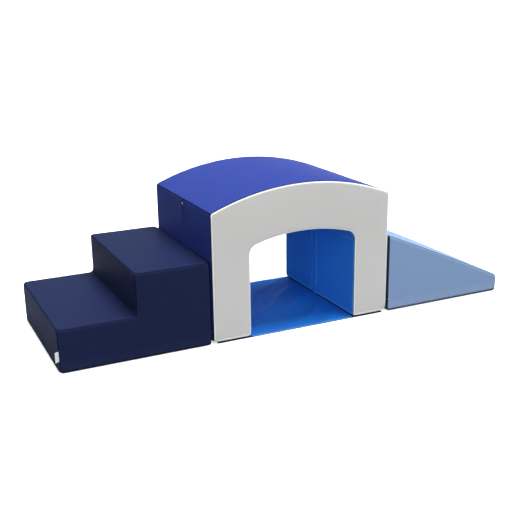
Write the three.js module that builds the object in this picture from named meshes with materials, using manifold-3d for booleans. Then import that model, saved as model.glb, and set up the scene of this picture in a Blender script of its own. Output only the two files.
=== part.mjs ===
// A soft play foam climber: a two-step block, a crawl-through tunnel on a thin floor mat, and a ramp.
// Each block is a foam core in a sewn cover of separate panels, closed by a zip. Hook-and-loop strips
// hold the step block and the ramp to the tunnel, so each of them pulls away along the row.
//
// Millimetres. Every block is drawn upright as seen from the front: x runs along the row from the
// steps to the ramp, y is up and z points to the front. The last group turns y up into z up, so in
// the finished part the front faces -Y. The origin is under the middle of the tunnel, on the floor.

import * as THREE from "three";
import { mergeVertices } from "three/addons/utils/BufferGeometryUtils.js";
import Module from "manifold-3d";

const wasm = await Module();
wasm.setup();

// Overall sizes
const DEPTH = 625;
const TUNNEL_LENGTH = 800;
const ROOF_SPRING = 528;
const ROOF_APEX = 610;
const OPENING_WIDTH = 468;
const CEILING_SPRING = 372;
const CEILING_APEX = 410;
const CEILING_CORNER_RADIUS = 38;
const STEP_RUN = 300;
const LOWER_STEP_HEIGHT = 173;
const STEPS_HEIGHT = 341;
const RAMP_LENGTH = 592;
const RAMP_HEIGHT = 341;
const RAMP_NOSE_HEIGHT = 76;
const BLOCK_GAP = 6;
const MAT_THICKNESS = 6;

// Cover panels, and the clearance between pieces that touch
const CLEAR = 0.3;
const PANEL = 1.5;
const CORE_INSET = PANEL + CLEAR;
const MAT_SHEET = 1;

// Zips, measured from the middle of the zip and from the face of the cover
const ZIP_HALF_SLOT = 7;
const COIL_HALF_SPACE = 1.2;
const COIL_EDGE = 4.2;
const TAPE_EDGE = 15;
const TAPE_THICKNESS = 1;
const GROOVE_HALF_WIDTH = 17;
const GROOVE_DEPTH = 7.5;
const LEG_ZIP_TOP = 522;
const LEFT_ZIP_TO_REAR = 0;
const RIGHT_ZIP_TO_REAR = 14;
const BLOCK_ZIP_HEIGHT = 53;

// Zip sliders
const SLIDER_LENGTH = 14;
const SLIDER_HALF_WIDTH = 5;
const SLIDER_PLATE = 1.2;
const SLIDER_POST_LENGTH = 4;
const SLIDER_POST_HALF_WIDTH = 0.9;
const TAB_REACH = 24;
const TAB_HALF_LENGTH = 4;
const TAB_THICKNESS = 0.9;
const LEG_SLIDER_HEIGHT = 508;
const BLOCK_SLIDER_TO_FRONT = 292;

// Flaps that cover the zips of the tunnel legs: sewn along the rear edge, loose along the front edge
const FLAP_THICKNESS = 0.9;
const FLAP_SEWN_EDGE = 37;
const FLAP_RISE_START = 24;
const FLAP_RISE_END = 14;
const FLAP_LOOSE_EDGE = 15;

// Hook-and-loop strips in the gaps between the blocks
const STRIP_THICKNESS = (BLOCK_GAP - 3 * CLEAR) / 2;
const STRIP_WIDTH = 50;
const STRIP_BOTTOM = 90;
const STRIP_TOP = 290;
const STRIP_TO_SIDE = 200;

// Sewn-in fabric tag on the front corner of the lowest step
const TAG_REACH = 13;
const TAG_THICKNESS = 1.2;
const TAG_BOTTOM = 50;
const TAG_TOP = 90;

const ARC_STEPS = 10;

// Sizes that follow
const HALF_DEPTH = DEPTH / 2;
const INNER_HALF_DEPTH = HALF_DEPTH - CORE_INSET;
const HALF_TUNNEL = TUNNEL_LENGTH / 2;
const HALF_OPENING = OPENING_WIDTH / 2;
const LEG_FOOT = MAT_THICKNESS + CLEAR;
const STEPS_LENGTH = 2 * STEP_RUN;
const TAPE_BACK = CORE_INSET + TAPE_THICKNESS;
const SLIDER_PROUD = CLEAR + SLIDER_PLATE;
const ROOF = circleThrough(HALF_TUNNEL, ROOF_SPRING, ROOF_APEX);
const CEILING = circleThrough(HALF_OPENING, CEILING_SPRING, CEILING_APEX);
const CORNER = ceilingCorner();

function cloth(color) {
  return new THREE.MeshStandardMaterial({ color, roughness: 0.55, metalness: 0 });
}

const navy = cloth(0x232c54);
const royal = cloth(0x3a41b0);
const grey = cloth(0xd2d2d0);
const blue = cloth(0x1a61b4);
const powder = cloth(0x90b2dc);
const white = cloth(0xf2f2f0);
const foam = new THREE.MeshStandardMaterial({ color: 0xe9dfbd, roughness: 0.95, metalness: 0 });
const tape = new THREE.MeshStandardMaterial({ color: 0x151a30, roughness: 0.8, metalness: 0 });
const fastener = new THREE.MeshStandardMaterial({ color: 0x14161f, roughness: 0.95, metalness: 0 });
const nickel = new THREE.MeshStandardMaterial({ color: 0xc9ccd0, roughness: 0.3, metalness: 1 });

// The circle through (-half, spring), (0, apex) and (half, spring).
function circleThrough(half, spring, apex) {
  const rise = apex - spring;
  const radius = (half * half + rise * rise) / (2 * rise);
  return { radius, centre: apex - radius };
}

// The corner arc of the opening touches the inner wall and the ceiling arc: its middle, and the
// direction of the point where it meets the ceiling.
function ceilingCorner() {
  const x = HALF_OPENING - CEILING_CORNER_RADIUS;
  const y = CEILING.centre + Math.sqrt((CEILING.radius - CEILING_CORNER_RADIUS) ** 2 - x * x);
  return { x, y, angle: Math.atan2(y - CEILING.centre, x) };
}

// Height of the roof's circle, drawn inset, at the distance x from the middle.
function roofHeight(x, inset) {
  return ROOF.centre + Math.sqrt((ROOF.radius - inset) ** 2 - x * x);
}

function addRoofArc(shape, halfWidth, inset, leftward) {
  const end = Math.acos(halfWidth / (ROOF.radius - inset));
  const [from, to] = leftward ? [end, Math.PI - end] : [Math.PI - end, end];
  shape.absarc(0, ROOF.centre, ROOF.radius - inset, from, to, !leftward);
}

// The top of the opening, drawn outset into the foam: corner, ceiling and corner.
function addCeilingArcs(shape, outset, leftward) {
  const corner = CEILING_CORNER_RADIUS + outset;
  const { x, y, angle } = CORNER;
  const rightCorner = () =>
    shape.absarc(x, y, corner, leftward ? 0 : angle, leftward ? angle : 0, !leftward);
  const leftCorner = () => {
    const ends = [Math.PI - angle, Math.PI];
    shape.absarc(-x, y, corner, ends[leftward ? 0 : 1], ends[leftward ? 1 : 0], !leftward);
  };
  const ceiling = () => {
    const ends = leftward ? [angle, Math.PI - angle] : [Math.PI - angle, angle];
    shape.absarc(0, CEILING.centre, CEILING.radius + outset, ...ends, !leftward);
  };
  const order = leftward ? [rightCorner, ceiling, leftCorner] : [leftCorner, ceiling, rightCorner];
  order.forEach((draw) => draw());
}

// The tunnel's side view, an arch on two legs, with every edge moved inwards by inset.
function tunnelOutline(inset) {
  const outer = HALF_TUNNEL - inset;
  const inner = HALF_OPENING + inset;
  const foot = LEG_FOOT + inset;
  const shape = new THREE.Shape();
  shape.moveTo(-outer, foot);
  shape.lineTo(-inner, foot);
  addCeilingArcs(shape, inset, false);
  shape.lineTo(inner, foot);
  shape.lineTo(outer, foot);
  addRoofArc(shape, outer, inset, true);
  return shape;
}

function roofSheetOutline() {
  const shape = new THREE.Shape();
  addRoofArc(shape, HALF_TUNNEL, 0, true);
  addRoofArc(shape, HALF_TUNNEL, PANEL, false);
  return shape;
}

function ceilingSheetOutline() {
  const shape = new THREE.Shape();
  addCeilingArcs(shape, 0, false);
  addCeilingArcs(shape, PANEL, true);
  return shape;
}

function polygon(points) {
  return new THREE.Shape(points.map(([x, y]) => new THREE.Vector2(x, y)));
}

// A band that runs down a leg's outer wall, under its foot and up its inner wall, between two
// depths below the cover. side is -1 for the left leg and 1 for the right leg.
function legBand(side, shallow, deep, outerTop, innerTop) {
  const edge = (depth) => [
    [side * (HALF_TUNNEL - depth), outerTop],
    [side * (HALF_TUNNEL - depth), LEG_FOOT + depth],
    [side * (HALF_OPENING + depth), LEG_FOOT + depth],
    [side * (HALF_OPENING + depth), innerTop],
  ];
  return polygon([...edge(shallow), ...edge(deep).reverse()]);
}

// The side view of the step block or the ramp. side is -1 for the steps and 1 for the ramp, and x
// is measured from the end face that meets the tunnel.
function stepsOutline(side, inset, notch = []) {
  const back = STEPS_LENGTH - inset;
  const riser = STEP_RUN - inset;
  const points = [
    [inset, inset],
    [back, inset],
    [back, LOWER_STEP_HEIGHT - inset],
    [riser, LOWER_STEP_HEIGHT - inset],
    [riser, STEPS_HEIGHT - inset],
    [inset, STEPS_HEIGHT - inset],
    ...notch,
  ];
  return polygon(points.map(([x, y]) => [side * x, y]));
}

function rampOutline(side, inset, notch = []) {
  const nose = RAMP_LENGTH - inset;
  const points = [
    [inset, inset],
    [nose, inset],
    [nose, slopeHeight(nose, inset)],
    [inset, slopeHeight(inset, inset)],
    ...notch,
  ];
  return polygon(points.map(([x, y]) => [side * x, y]));
}

// Height of the ramp's slope, drawn inset square to itself, at the distance x from the end face.
function slopeHeight(x, inset) {
  const fall = RAMP_HEIGHT - RAMP_NOSE_HEIGHT;
  const slant = Math.hypot(fall, RAMP_LENGTH) / RAMP_LENGTH;
  return RAMP_HEIGHT - (fall * x) / RAMP_LENGTH - inset * slant;
}

// Foam groove behind a zip that runs across a block's end face, as a notch in its side view.
function blockZipNotch() {
  const low = BLOCK_ZIP_HEIGHT - GROOVE_HALF_WIDTH;
  const high = BLOCK_ZIP_HEIGHT + GROOVE_HALF_WIDTH;
  return [
    [CORE_INSET, high],
    [GROOVE_DEPTH, high],
    [GROOVE_DEPTH, low],
    [CORE_INSET, low],
  ];
}

// A side view carried from z0 to z1.
function extrude(shape, z0, z1) {
  const options = { depth: z1 - z0, bevelEnabled: false, curveSegments: ARC_STEPS };
  return new THREE.ExtrudeGeometry(shape, options).translate(0, 0, z0);
}

// A box that fills three ranges.
function box(x, y, z) {
  const size = [x, y, z].map(([low, high]) => Math.abs(high - low));
  const middle = [x, y, z].map(([low, high]) => (low + high) / 2);
  return new THREE.BoxGeometry(...size).translate(...middle);
}

function toSolid(geometry) {
  const bare = geometry.clone();
  bare.deleteAttribute("normal");
  bare.deleteAttribute("uv");
  const merged = mergeVertices(bare, 1e-4);
  const vertProperties = merged.attributes.position.array;
  const triVerts = new Uint32Array(merged.index.array);
  return new wasm.Manifold(new wasm.Mesh({ numProp: 3, vertProperties, triVerts }));
}

function toGeometry(solid) {
  const { vertProperties, triVerts } = solid.getMesh();
  const indexed = new THREE.BufferGeometry();
  indexed.setAttribute("position", new THREE.BufferAttribute(vertProperties, 3));
  indexed.setIndex(new THREE.BufferAttribute(triVerts, 1));
  const flat = indexed.toNonIndexed();
  flat.computeVertexNormals();
  return flat;
}

function join(geometries) {
  return toGeometry(geometries.map(toSolid).reduce((whole, next) => whole.add(next)));
}

function cut(geometry, cutters) {
  return toGeometry(cutters.map(toSolid).reduce((left, next) => left.subtract(next), toSolid(geometry)));
}

function add(parent, name, geometry, material, x = 0, y = 0, z = 0) {
  const mesh = new THREE.Mesh(geometry, material);
  mesh.name = name;
  mesh.position.set(x, y, z);
  parent.add(mesh);
  return mesh;
}

// The two flat side panels of a block, whose outlines run out to its corners.
function addSidePanels(block, prefix, outline, material) {
  const panel = extrude(outline, 0, PANEL);
  add(block, prefix + "_front_panel", panel, material, 0, 0, HALF_DEPTH - PANEL);
  add(block, prefix + "_rear_panel", panel, material, 0, 0, -HALF_DEPTH);
}

// A zip slider: a plate over the coils and a plate under the tapes, joined by a post between the
// coils, and a flat pull tab. Its x points out of the cover, y to the closed end of the zip and z
// across it; tabSide says which way across the tab lies.
function sliderGeometry(tabSide) {
  const length = [-SLIDER_LENGTH / 2, SLIDER_LENGTH / 2];
  const width = [-SLIDER_HALF_WIDTH, SLIDER_HALF_WIDTH];
  const underside = -TAPE_BACK - CLEAR;
  const postLength = [length[1] - SLIDER_POST_LENGTH, length[1]];
  const postWidth = [-SLIDER_POST_HALF_WIDTH, SLIDER_POST_HALF_WIDTH];
  const tabLayer = [SLIDER_PROUD - TAB_THICKNESS, SLIDER_PROUD];
  return join([
    box([CLEAR, SLIDER_PROUD], length, width),
    box([underside - SLIDER_PLATE, underside], length, width),
    box([underside - SLIDER_PLATE, SLIDER_PROUD], postLength, postWidth),
    box(tabLayer, [-TAB_HALF_LENGTH, TAB_HALF_LENGTH], [0, tabSide * TAB_REACH]),
  ]);
}

// One half of a zip: a woven tape under the panel's edge, and the coil along its inner edge, level
// with the face of the cover. bandAt(shallow, deep) is the run of the zip in side view.
function tapeGeometry(bandAt, towardsFront) {
  const across = (from, to) => (towardsFront ? [from, to] : [-to, -from]);
  return join([
    extrude(bandAt(CORE_INSET, TAPE_BACK), ...across(COIL_HALF_SPACE, TAPE_EDGE)),
    extrude(bandAt(0, TAPE_BACK), ...across(COIL_HALF_SPACE, COIL_EDGE)),
  ]);
}

// The flap over a zip, carried up from its foot. Its section rises off the cover to pass the slider.
function flapGeometry(outward, height) {
  const low = CLEAR;
  const high = SLIDER_PROUD + CLEAR;
  const section = [
    [low, FLAP_SEWN_EDGE],
    [low + FLAP_THICKNESS, FLAP_SEWN_EDGE],
    [low + FLAP_THICKNESS, FLAP_RISE_START],
    [high + FLAP_THICKNESS, FLAP_RISE_END],
    [high + FLAP_THICKNESS, -FLAP_LOOSE_EDGE],
    [high, -FLAP_LOOSE_EDGE],
    [high, FLAP_RISE_END],
    [low, FLAP_RISE_START],
  ];
  return extrude(polygon(section.map(([out, rear]) => [outward * out, rear])), 0, height);
}

function addFlap(parent, name, material, outward, face, height) {
  const flap = add(parent, name, flapGeometry(outward, height), material, face, LEG_FOOT + CORE_INSET, 0);
  flap.rotation.x = -Math.PI / 2;
}

// The loop strips on a tunnel wall, or the hook strips on the end face of the block beside it.
function addStrips(parent, prefix, face, outward) {
  const reach = [outward * CLEAR, outward * (CLEAR + STRIP_THICKNESS)];
  const strip = box(reach, [STRIP_BOTTOM, STRIP_TOP], [-STRIP_WIDTH / 2, STRIP_WIDTH / 2]);
  add(parent, prefix + "_front", strip, fastener, face, 0, STRIP_TO_SIDE);
  add(parent, prefix + "_rear", strip, fastener, face, 0, -STRIP_TO_SIDE);
}

// Cover panels of one leg: outer wall, inner wall and foot, each in two halves beside the zip.
function addLegPanels(tunnel, prefix, side, zipZ) {
  const wallFoot = LEG_FOOT + CORE_INSET;
  const outer = [side * (HALF_TUNNEL - PANEL), side * HALF_TUNNEL];
  const inner = [side * HALF_OPENING, side * (HALF_OPENING + PANEL)];
  const foot = [side * HALF_OPENING, side * HALF_TUNNEL];
  const halves = {
    front: [zipZ + ZIP_HALF_SLOT, INNER_HALF_DEPTH],
    rear: [-INNER_HALF_DEPTH, zipZ - ZIP_HALF_SLOT],
  };
  for (const [half, z] of Object.entries(halves)) {
    const wallTop = roofHeight(HALF_TUNNEL, PANEL) - CLEAR;
    add(tunnel, `${prefix}_outer_wall_${half}`, box(outer, [wallFoot, wallTop], z), royal);
    add(tunnel, `${prefix}_inner_wall_${half}`, box(inner, [wallFoot, CORNER.y - CLEAR], z), blue);
    add(tunnel, `${prefix}_foot_${half}`, box(foot, [LEG_FOOT, LEG_FOOT + PANEL], z), royal);
  }
}

// The zip of one leg runs down the outer wall, under the foot and up the inner wall.
function addLegZip(tunnel, prefix, side, zipZ) {
  const zip = new THREE.Group();
  zip.position.z = zipZ;
  tunnel.add(zip);
  const band = (shallow, deep) => legBand(side, shallow, deep, LEG_ZIP_TOP, CORNER.y - CLEAR);
  add(zip, prefix + "_zip_tape_front", tapeGeometry(band, true), tape);
  add(zip, prefix + "_zip_tape_rear", tapeGeometry(band, false), tape);
  const flapFoot = LEG_FOOT + CORE_INSET;
  addFlap(zip, prefix + "_outer_flap", royal, side, side * HALF_TUNNEL, LEG_ZIP_TOP - flapFoot);
  addFlap(zip, prefix + "_inner_flap", blue, -side, side * HALF_OPENING, CORNER.y - CLEAR - flapFoot);
  const slider = add(zip, prefix + "_zip_slider", sliderGeometry(side), nickel);
  slider.position.set(side * HALF_TUNNEL, LEG_SLIDER_HEIGHT, 0);
  slider.rotation.y = side < 0 ? Math.PI : 0;
}

function buildTunnel() {
  const tunnel = new THREE.Group();
  const legs = [
    { prefix: "tunnel_left", side: -1, zipZ: -LEFT_ZIP_TO_REAR },
    { prefix: "tunnel_right", side: 1, zipZ: -RIGHT_ZIP_TO_REAR },
  ];
  const grooves = legs.map(({ side, zipZ }) => {
    const band = legBand(side, -1, GROOVE_DEPTH, LEG_ZIP_TOP + 2 * CLEAR, CORNER.y);
    return extrude(band, zipZ - GROOVE_HALF_WIDTH, zipZ + GROOVE_HALF_WIDTH);
  });
  const block = extrude(tunnelOutline(CORE_INSET), -INNER_HALF_DEPTH, INNER_HALF_DEPTH);
  add(tunnel, "tunnel_foam_core", cut(block, grooves), foam);
  addSidePanels(tunnel, "tunnel", tunnelOutline(0), grey);
  const acrossDepth = [-INNER_HALF_DEPTH, INNER_HALF_DEPTH];
  add(tunnel, "tunnel_roof_panel", extrude(roofSheetOutline(), ...acrossDepth), royal);
  add(tunnel, "tunnel_ceiling_panel", extrude(ceilingSheetOutline(), ...acrossDepth), blue);
  for (const { prefix, side, zipZ } of legs) {
    addLegPanels(tunnel, prefix, side, zipZ);
    addLegZip(tunnel, prefix, side, zipZ);
    addStrips(tunnel, prefix + "_loop_strip", side * HALF_TUNNEL, side);
  }
  return tunnel;
}

// The floor mat lies under both legs: a foam sheet in a flat sleeve, whose two mouths face the
// front and the rear.
function buildMat() {
  const mat = new THREE.Group();
  const width = [-HALF_TUNNEL, HALF_TUNNEL];
  const foamInset = MAT_SHEET + CLEAR;
  const sleeve = box(width, [0, MAT_THICKNESS], [-HALF_DEPTH, HALF_DEPTH]);
  const pocketX = [MAT_SHEET - HALF_TUNNEL, HALF_TUNNEL - MAT_SHEET];
  const pocket = box(pocketX, [MAT_SHEET, MAT_THICKNESS - MAT_SHEET], [-DEPTH, DEPTH]);
  add(mat, "mat_cover", cut(sleeve, [pocket]), blue);
  const foamX = [foamInset - HALF_TUNNEL, HALF_TUNNEL - foamInset];
  const foamZ = [foamInset - HALF_DEPTH, HALF_DEPTH - foamInset];
  add(mat, "mat_foam", box(foamX, [foamInset, MAT_THICKNESS - foamInset], foamZ), foam);
  return mat;
}

// What the step block and the ramp share: the end panel that meets the tunnel, the base with its
// upturned lip, the zip between them with its slider, and the hook strips.
function addEndFace(block, prefix, side, length, wallTop, material) {
  const acrossDepth = [-INNER_HALF_DEPTH, INNER_HALF_DEPTH];
  const slotTop = BLOCK_ZIP_HEIGHT + ZIP_HALF_SLOT;
  const slotBottom = BLOCK_ZIP_HEIGHT - ZIP_HALF_SLOT;
  add(block, prefix + "_end_panel", box([0, side * PANEL], [slotTop, wallTop], acrossDepth), material);
  const base = [
    [0, 0],
    [length, 0],
    [length, PANEL],
    [PANEL, PANEL],
    [PANEL, slotBottom],
    [0, slotBottom],
  ];
  const baseOutline = polygon(base.map(([x, y]) => [side * x, y]));
  add(block, prefix + "_base_panel", extrude(baseOutline, ...acrossDepth), material);

  const zip = new THREE.Group();
  zip.position.y = BLOCK_ZIP_HEIGHT;
  block.add(zip);
  for (const [half, up] of Object.entries({ upper: 1, lower: -1 })) {
    const tapeBox = (shallow, deep, edge) =>
      box([side * shallow, side * deep], [up * COIL_HALF_SPACE, up * edge], acrossDepth);
    const parts = [tapeBox(CORE_INSET, TAPE_BACK, TAPE_EDGE), tapeBox(0, TAPE_BACK, COIL_EDGE)];
    add(zip, `${prefix}_zip_tape_${half}`, join(parts), tape);
  }
  const slider = add(zip, prefix + "_zip_slider", sliderGeometry(-side), nickel);
  slider.position.z = BLOCK_SLIDER_TO_FRONT;
  slider.rotation.set(Math.PI / 2, side > 0 ? Math.PI : 0, 0);
  addStrips(block, prefix + "_hook_strip", 0, -side);
}

function buildSteps() {
  const steps = new THREE.Group();
  const side = -1;
  steps.position.x = side * (HALF_TUNNEL + BLOCK_GAP);
  const acrossDepth = [-INNER_HALF_DEPTH, INNER_HALF_DEPTH];
  const coreOutline = stepsOutline(side, CORE_INSET, blockZipNotch());
  add(steps, "steps_foam_core", extrude(coreOutline, ...acrossDepth), foam);
  addSidePanels(steps, "steps", stepsOutline(side, 0), navy);
  const levels = [
    { name: "lower", front: STEPS_LENGTH, back: STEP_RUN + CLEAR, foot: CORE_INSET, top: LOWER_STEP_HEIGHT },
    { name: "upper", front: STEP_RUN, back: 0, foot: LOWER_STEP_HEIGHT - PANEL, top: STEPS_HEIGHT },
  ];
  for (const { name, front, back, foot, top } of levels) {
    const riserX = [side * (front - PANEL), side * front];
    add(steps, `steps_${name}_riser`, box(riserX, [foot, top - CORE_INSET], acrossDepth), navy);
    const treadX = [side * back, side * front];
    add(steps, `steps_${name}_tread`, box(treadX, [top - PANEL, top], acrossDepth), navy);
  }
  addEndFace(steps, "steps", side, STEPS_LENGTH, STEPS_HEIGHT - CORE_INSET, navy);

  const tagRoot = STEPS_LENGTH + CLEAR;
  const tagX = [side * tagRoot, side * (tagRoot + TAG_REACH)];
  const tagZ = [HALF_DEPTH - PANEL, HALF_DEPTH - PANEL + TAG_THICKNESS];
  add(steps, "steps_fabric_tag", box(tagX, [TAG_BOTTOM, TAG_TOP], tagZ), white);
  return steps;
}

function buildRamp() {
  const ramp = new THREE.Group();
  const side = 1;
  ramp.position.x = side * (HALF_TUNNEL + BLOCK_GAP);
  const acrossDepth = [-INNER_HALF_DEPTH, INNER_HALF_DEPTH];
  const coreOutline = rampOutline(side, CORE_INSET, blockZipNotch());
  add(ramp, "ramp_foam_core", extrude(coreOutline, ...acrossDepth), foam);
  addSidePanels(ramp, "ramp", rampOutline(side, 0), powder);
  const slope = [
    [0, RAMP_HEIGHT],
    [RAMP_LENGTH, RAMP_NOSE_HEIGHT],
    [RAMP_LENGTH, slopeHeight(RAMP_LENGTH, PANEL)],
    [0, slopeHeight(0, PANEL)],
  ];
  add(ramp, "ramp_slide_panel", extrude(polygon(slope), ...acrossDepth), powder);
  const noseX = [RAMP_LENGTH - PANEL, RAMP_LENGTH];
  const noseTop = slopeHeight(RAMP_LENGTH, PANEL) - CLEAR;
  add(ramp, "ramp_nose_panel", box(noseX, [CORE_INSET, noseTop], acrossDepth), powder);
  const endTop = slopeHeight(PANEL, PANEL) - CLEAR;
  addEndFace(ramp, "ramp", side, RAMP_LENGTH, endTop, powder);
  return ramp;
}

const climber = new THREE.Group();
climber.add(buildTunnel(), buildMat(), buildSteps(), buildRamp());
climber.rotation.x = Math.PI / 2;

export default climber;
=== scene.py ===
"""Looks of the soft play foam climber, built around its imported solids.

A navy block of two steps, a grey, royal and medium blue tunnel on a thin mat, and a powder blue ramp
stand in a row. Each block is foam in a sewn cover of coated fabric. Metres: x runs along the row from
the steps to the ramp, the front faces -y, z is up and the floor is z = 0.

A cover panel swells between its seams. Its base surface runs through the seams, which lie a small
drop inside the solid's faces, and the panel's middle comes out to the solid's face. Side views are
drawn clockwise as seen from the front, so that outwards is on the left of every line.
"""

import math
from types import SimpleNamespace

import bmesh
import bpy
import numpy as np
from mathutils import Matrix, Vector
from mathutils.kdtree import KDTree


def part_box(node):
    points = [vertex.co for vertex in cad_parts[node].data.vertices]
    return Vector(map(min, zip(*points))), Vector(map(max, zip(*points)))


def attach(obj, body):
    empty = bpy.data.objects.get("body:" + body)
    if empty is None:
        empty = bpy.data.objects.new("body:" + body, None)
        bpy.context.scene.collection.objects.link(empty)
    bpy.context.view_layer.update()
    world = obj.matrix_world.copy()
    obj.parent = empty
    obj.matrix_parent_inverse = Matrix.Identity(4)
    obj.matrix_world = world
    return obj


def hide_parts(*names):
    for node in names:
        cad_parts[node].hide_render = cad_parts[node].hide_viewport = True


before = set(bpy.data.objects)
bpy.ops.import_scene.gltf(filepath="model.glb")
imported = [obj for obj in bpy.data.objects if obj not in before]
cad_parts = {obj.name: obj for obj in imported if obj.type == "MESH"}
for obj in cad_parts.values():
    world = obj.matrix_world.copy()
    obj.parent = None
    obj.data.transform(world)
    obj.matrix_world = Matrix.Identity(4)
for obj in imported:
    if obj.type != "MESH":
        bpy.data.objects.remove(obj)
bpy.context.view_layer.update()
X, Y, Z = 0, 1, 2

# How far the seams lie inside the solid's faces
SIDE_DROP = 0.004
DROP = 0.004
OPENING_DROP = 0.005
FOOT_DROP = 0.002

# Swell of a panel beside its seams
EDGE_REACH = 0.012
FOOT_REACH = 0.005
SLOW_SHARE = 0.16
CROWN = 0.002
FLAT_SEAM_DIP = 0.3
FLAT_SEAM_REACH = 0.003
CORNER_DEPTH = 2.2
CORNER_DRAW = 0.25
PUCKER = 0.1
PUCKER_REACH = 0.016
PUCKER_WAVES = (0.02, 0.05)
WAVE = 0.00035
LONG_WAVES = (0.12, 0.4)

# The kinds of a panel's edges, and the share of the true distance that the painted shade of the dark
# fold beside each counts: the smaller the share, the wider the band of painted shade. A shaded edge has
# a wide band of painted shade, a foot edge stands on the floor and gets painted shade for its own
# shade there, and a gap edge gets a wide band of painted shade for the deep shade between two blocks.
# None is a loose edge or one where the cover runs on, and no fold.
FOLD_SHARES = {"edge": 1.0, "flat": 1.0, "shaded": 0.4, "foot": 0.14, "gap": 0.1}
NO_SEAM = 1.0
NEARLY = 0.999
OUTER = ("edge", "edge")
GAP = ("gap", "gap")

# Radii of the blocks' rounded corners
TIGHT_ROUND = 0.006
SMALL_ROUND = 0.008
MIDDLE_ROUND = 0.01
UPPER_ROUND = 0.012
BACK_ROUND = 0.014
WIDE_ROUND = 0.018

# Cells of a panel's grid, the cover's skin here and its sheet in the solids, and the foam inside
FINE_CELL = 0.0008
CELL_GROWTH = 1.5
COARSE_CELL = 0.008
GRADED_SHARE = 0.4
ARC_CELL = 0.001
SKIN = 0.0012
SHEET = 0.0015
FOAM_CELL = 0.006
FOAM_INSET = 0.0055
ZIP_CHANNEL = (0.003, 0.022)

# Cloth simulation of a cover
PRESSURE = 4.0
SHELL_CELL = 0.014
SEAM_HOLD = 0.01
FULL_RISE = 0.012
CLOTH_FRAMES = 20
BLEND_REACH = 0.002

# The tunnel's arcs, and the row's small parts
ROOF_RISE = 0.082
CEILING_RISE = 0.038
CEILING_CORNER = 0.038
CORNER_TURN = math.radians(74)
BASE_TURN = 0.008
INNER_ROUND = 0.014
BRIDGE_REACH = 0.05
SLIDE_RISE = 0.0035
SLIDE_SHEET = 0.00164
FLOOR_REACH = 0.03

# Zips: across the run a tape and a coil from the slot's middle outwards, and their depths
ZIP_HALF_SLOT = 0.007
LEFT_ZIP = 0.0
RIGHT_ZIP = 0.014
BLOCK_ZIP = 0.053
LEG_ZIP_TURN = 0.009
LEG_ZIP_END = 0.001
TAPE = (0.0012, 0.015)
TAPE_THICKNESS = 0.001
TAPE_DEPTH = 0.0023
COIL = (0.0012, 0.0042)
COIL_SECTION = (0.0026, 0.0024)
COIL_DEPTH = 0.0015
COIL_PITCH = 0.003
COIL_BEAT = 0.22

# A slider's upper plate, lower plate, post and crown: how far forward, length, width at the nose and
# at the tail, lower and upper level. Its tab's outer and inner outline: half x, half y, middle x
SLIDER_PLATES = (
    (0.0, 0.014, 0.01, 0.0078, 0.0003, 0.00135),
    (0.0, 0.014, 0.01, 0.0078, -0.0042, -0.0031),
    (0.005, 0.004, 0.0018, 0.0018, -0.0035, 0.0008),
    (0.0, 0.008, 0.003, 0.003, 0.0011, 0.0015),
)
PLATE_DRAW = 0.16
TAB_OUTLINES = ((0.0122, 0.004, 0.0118), (0.0085, 0.0018, 0.0132))
TAB_THICKNESS = 0.0008
TAB_LEVEL = 0.0011

# A flap across its zip: even cells from the sewn edge to the loose one, its two rows of stitches with
# the depth and width of their grooves, the hem's height and width, the lengths at its top and foot
# where the slider comes out, and what its edges add to the distance from them for their painted shade
# and painted highlight
FLAP_SPANS = ((0.037, 0.026, 12), (0.026, 0.012, 15), (0.012, -0.015, 28))
SEWN_ROW = 0.033
HEM_ROW = -0.0065
GROOVES = ((HEM_ROW, 0.00025, 0.0008), (SEWN_ROW, 0.0004, 0.0009))
HEM = (0.00035, 0.001)
MOUTHS = (0.034, 0.05)
MOUTH_EDGE = 0.01
FLAP_EDGES = (0.002, 0.0025)
FLAP_SKIN = 0.0009
FLAP_CLEARANCE = 0.0018
FLAP_TUCK = 0.003

# A flap's outer face over its wall: the level of its sewn edge, then the height, start and width of
# its step up to pass the slider and of its turn down at the loose edge. The part that waves: its
# start and width, how far it goes out and sideways, and the shortest and longest waves
FLAP_LEVEL = 0.0012
STEP_UP = (0.0015, 0.024, 0.01)
TURN_DOWN = (0.0021, -0.0125, 0.0025)
LOOSE = (0.01, 0.02)
WAVE_OUT = 0.0002
WAVE_SIDEWAYS = 0.0006
OUT_WAVES = (0.1, 0.3)
SIDEWAYS_WAVES = (0.05, 0.16)

# The mat: its round edge, insets from the solid's faces, what its edge adds to the distance from it for
# the painted shade along that edge, and its slanting folds, which fade over a margin beside the legs.
# Waves: seed, shortest, longest
MAT_ROUND = 0.005
MAT_FRONT_INSET = 0.003
MAT_REAR_INSET = 0.01
MAT_END_INSET = 0.02
MAT_EDGE = 0.0015
FOLD_HEIGHT = 0.009
FOLD_SLANT = (0.65, -0.76)
FOLD_TURNS = 26
FOLD_WANDER = 2.4
FOLD_POWER = 8
FOLD_STRENGTH = (0.55, 0.6)
FOLD_MARGIN = (0.004, 0.05)
CREASE_HEIGHT = 0.0012
WANDER_WAVES = (31, 0.35, 0.8)
STRENGTH_WAVES = (32, 0.3, 0.7)
CREASE_WAVES = (33, 0.06, 0.2)

# A fastener strip: its round edge, the share pressed down along its stitches with their place and
# width, and the share that its corners draw in
STRIP_EDGE = 0.0015
STRIP_STITCH = (0.45, 0.004, 0.0009)
STRIP_DRAW = 0.03

# The tag: how far it goes into the seam, half the gap between its layers and the share of that at its
# ends, its lean and bend to the front, how much and how fast the bend varies, and the ribbon's length
TAG_HIDDEN = 0.003
TAG_IN = 0.0045
TAG_APART = 0.0011
TAG_CLOSED = 0.35
TAG_LEAN = 0.45
TAG_BEND = 9.0
TAG_VARIES = (0.25, 60)
TAG_LENGTH = 0.042
TAG_SKIN = 0.00035

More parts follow.
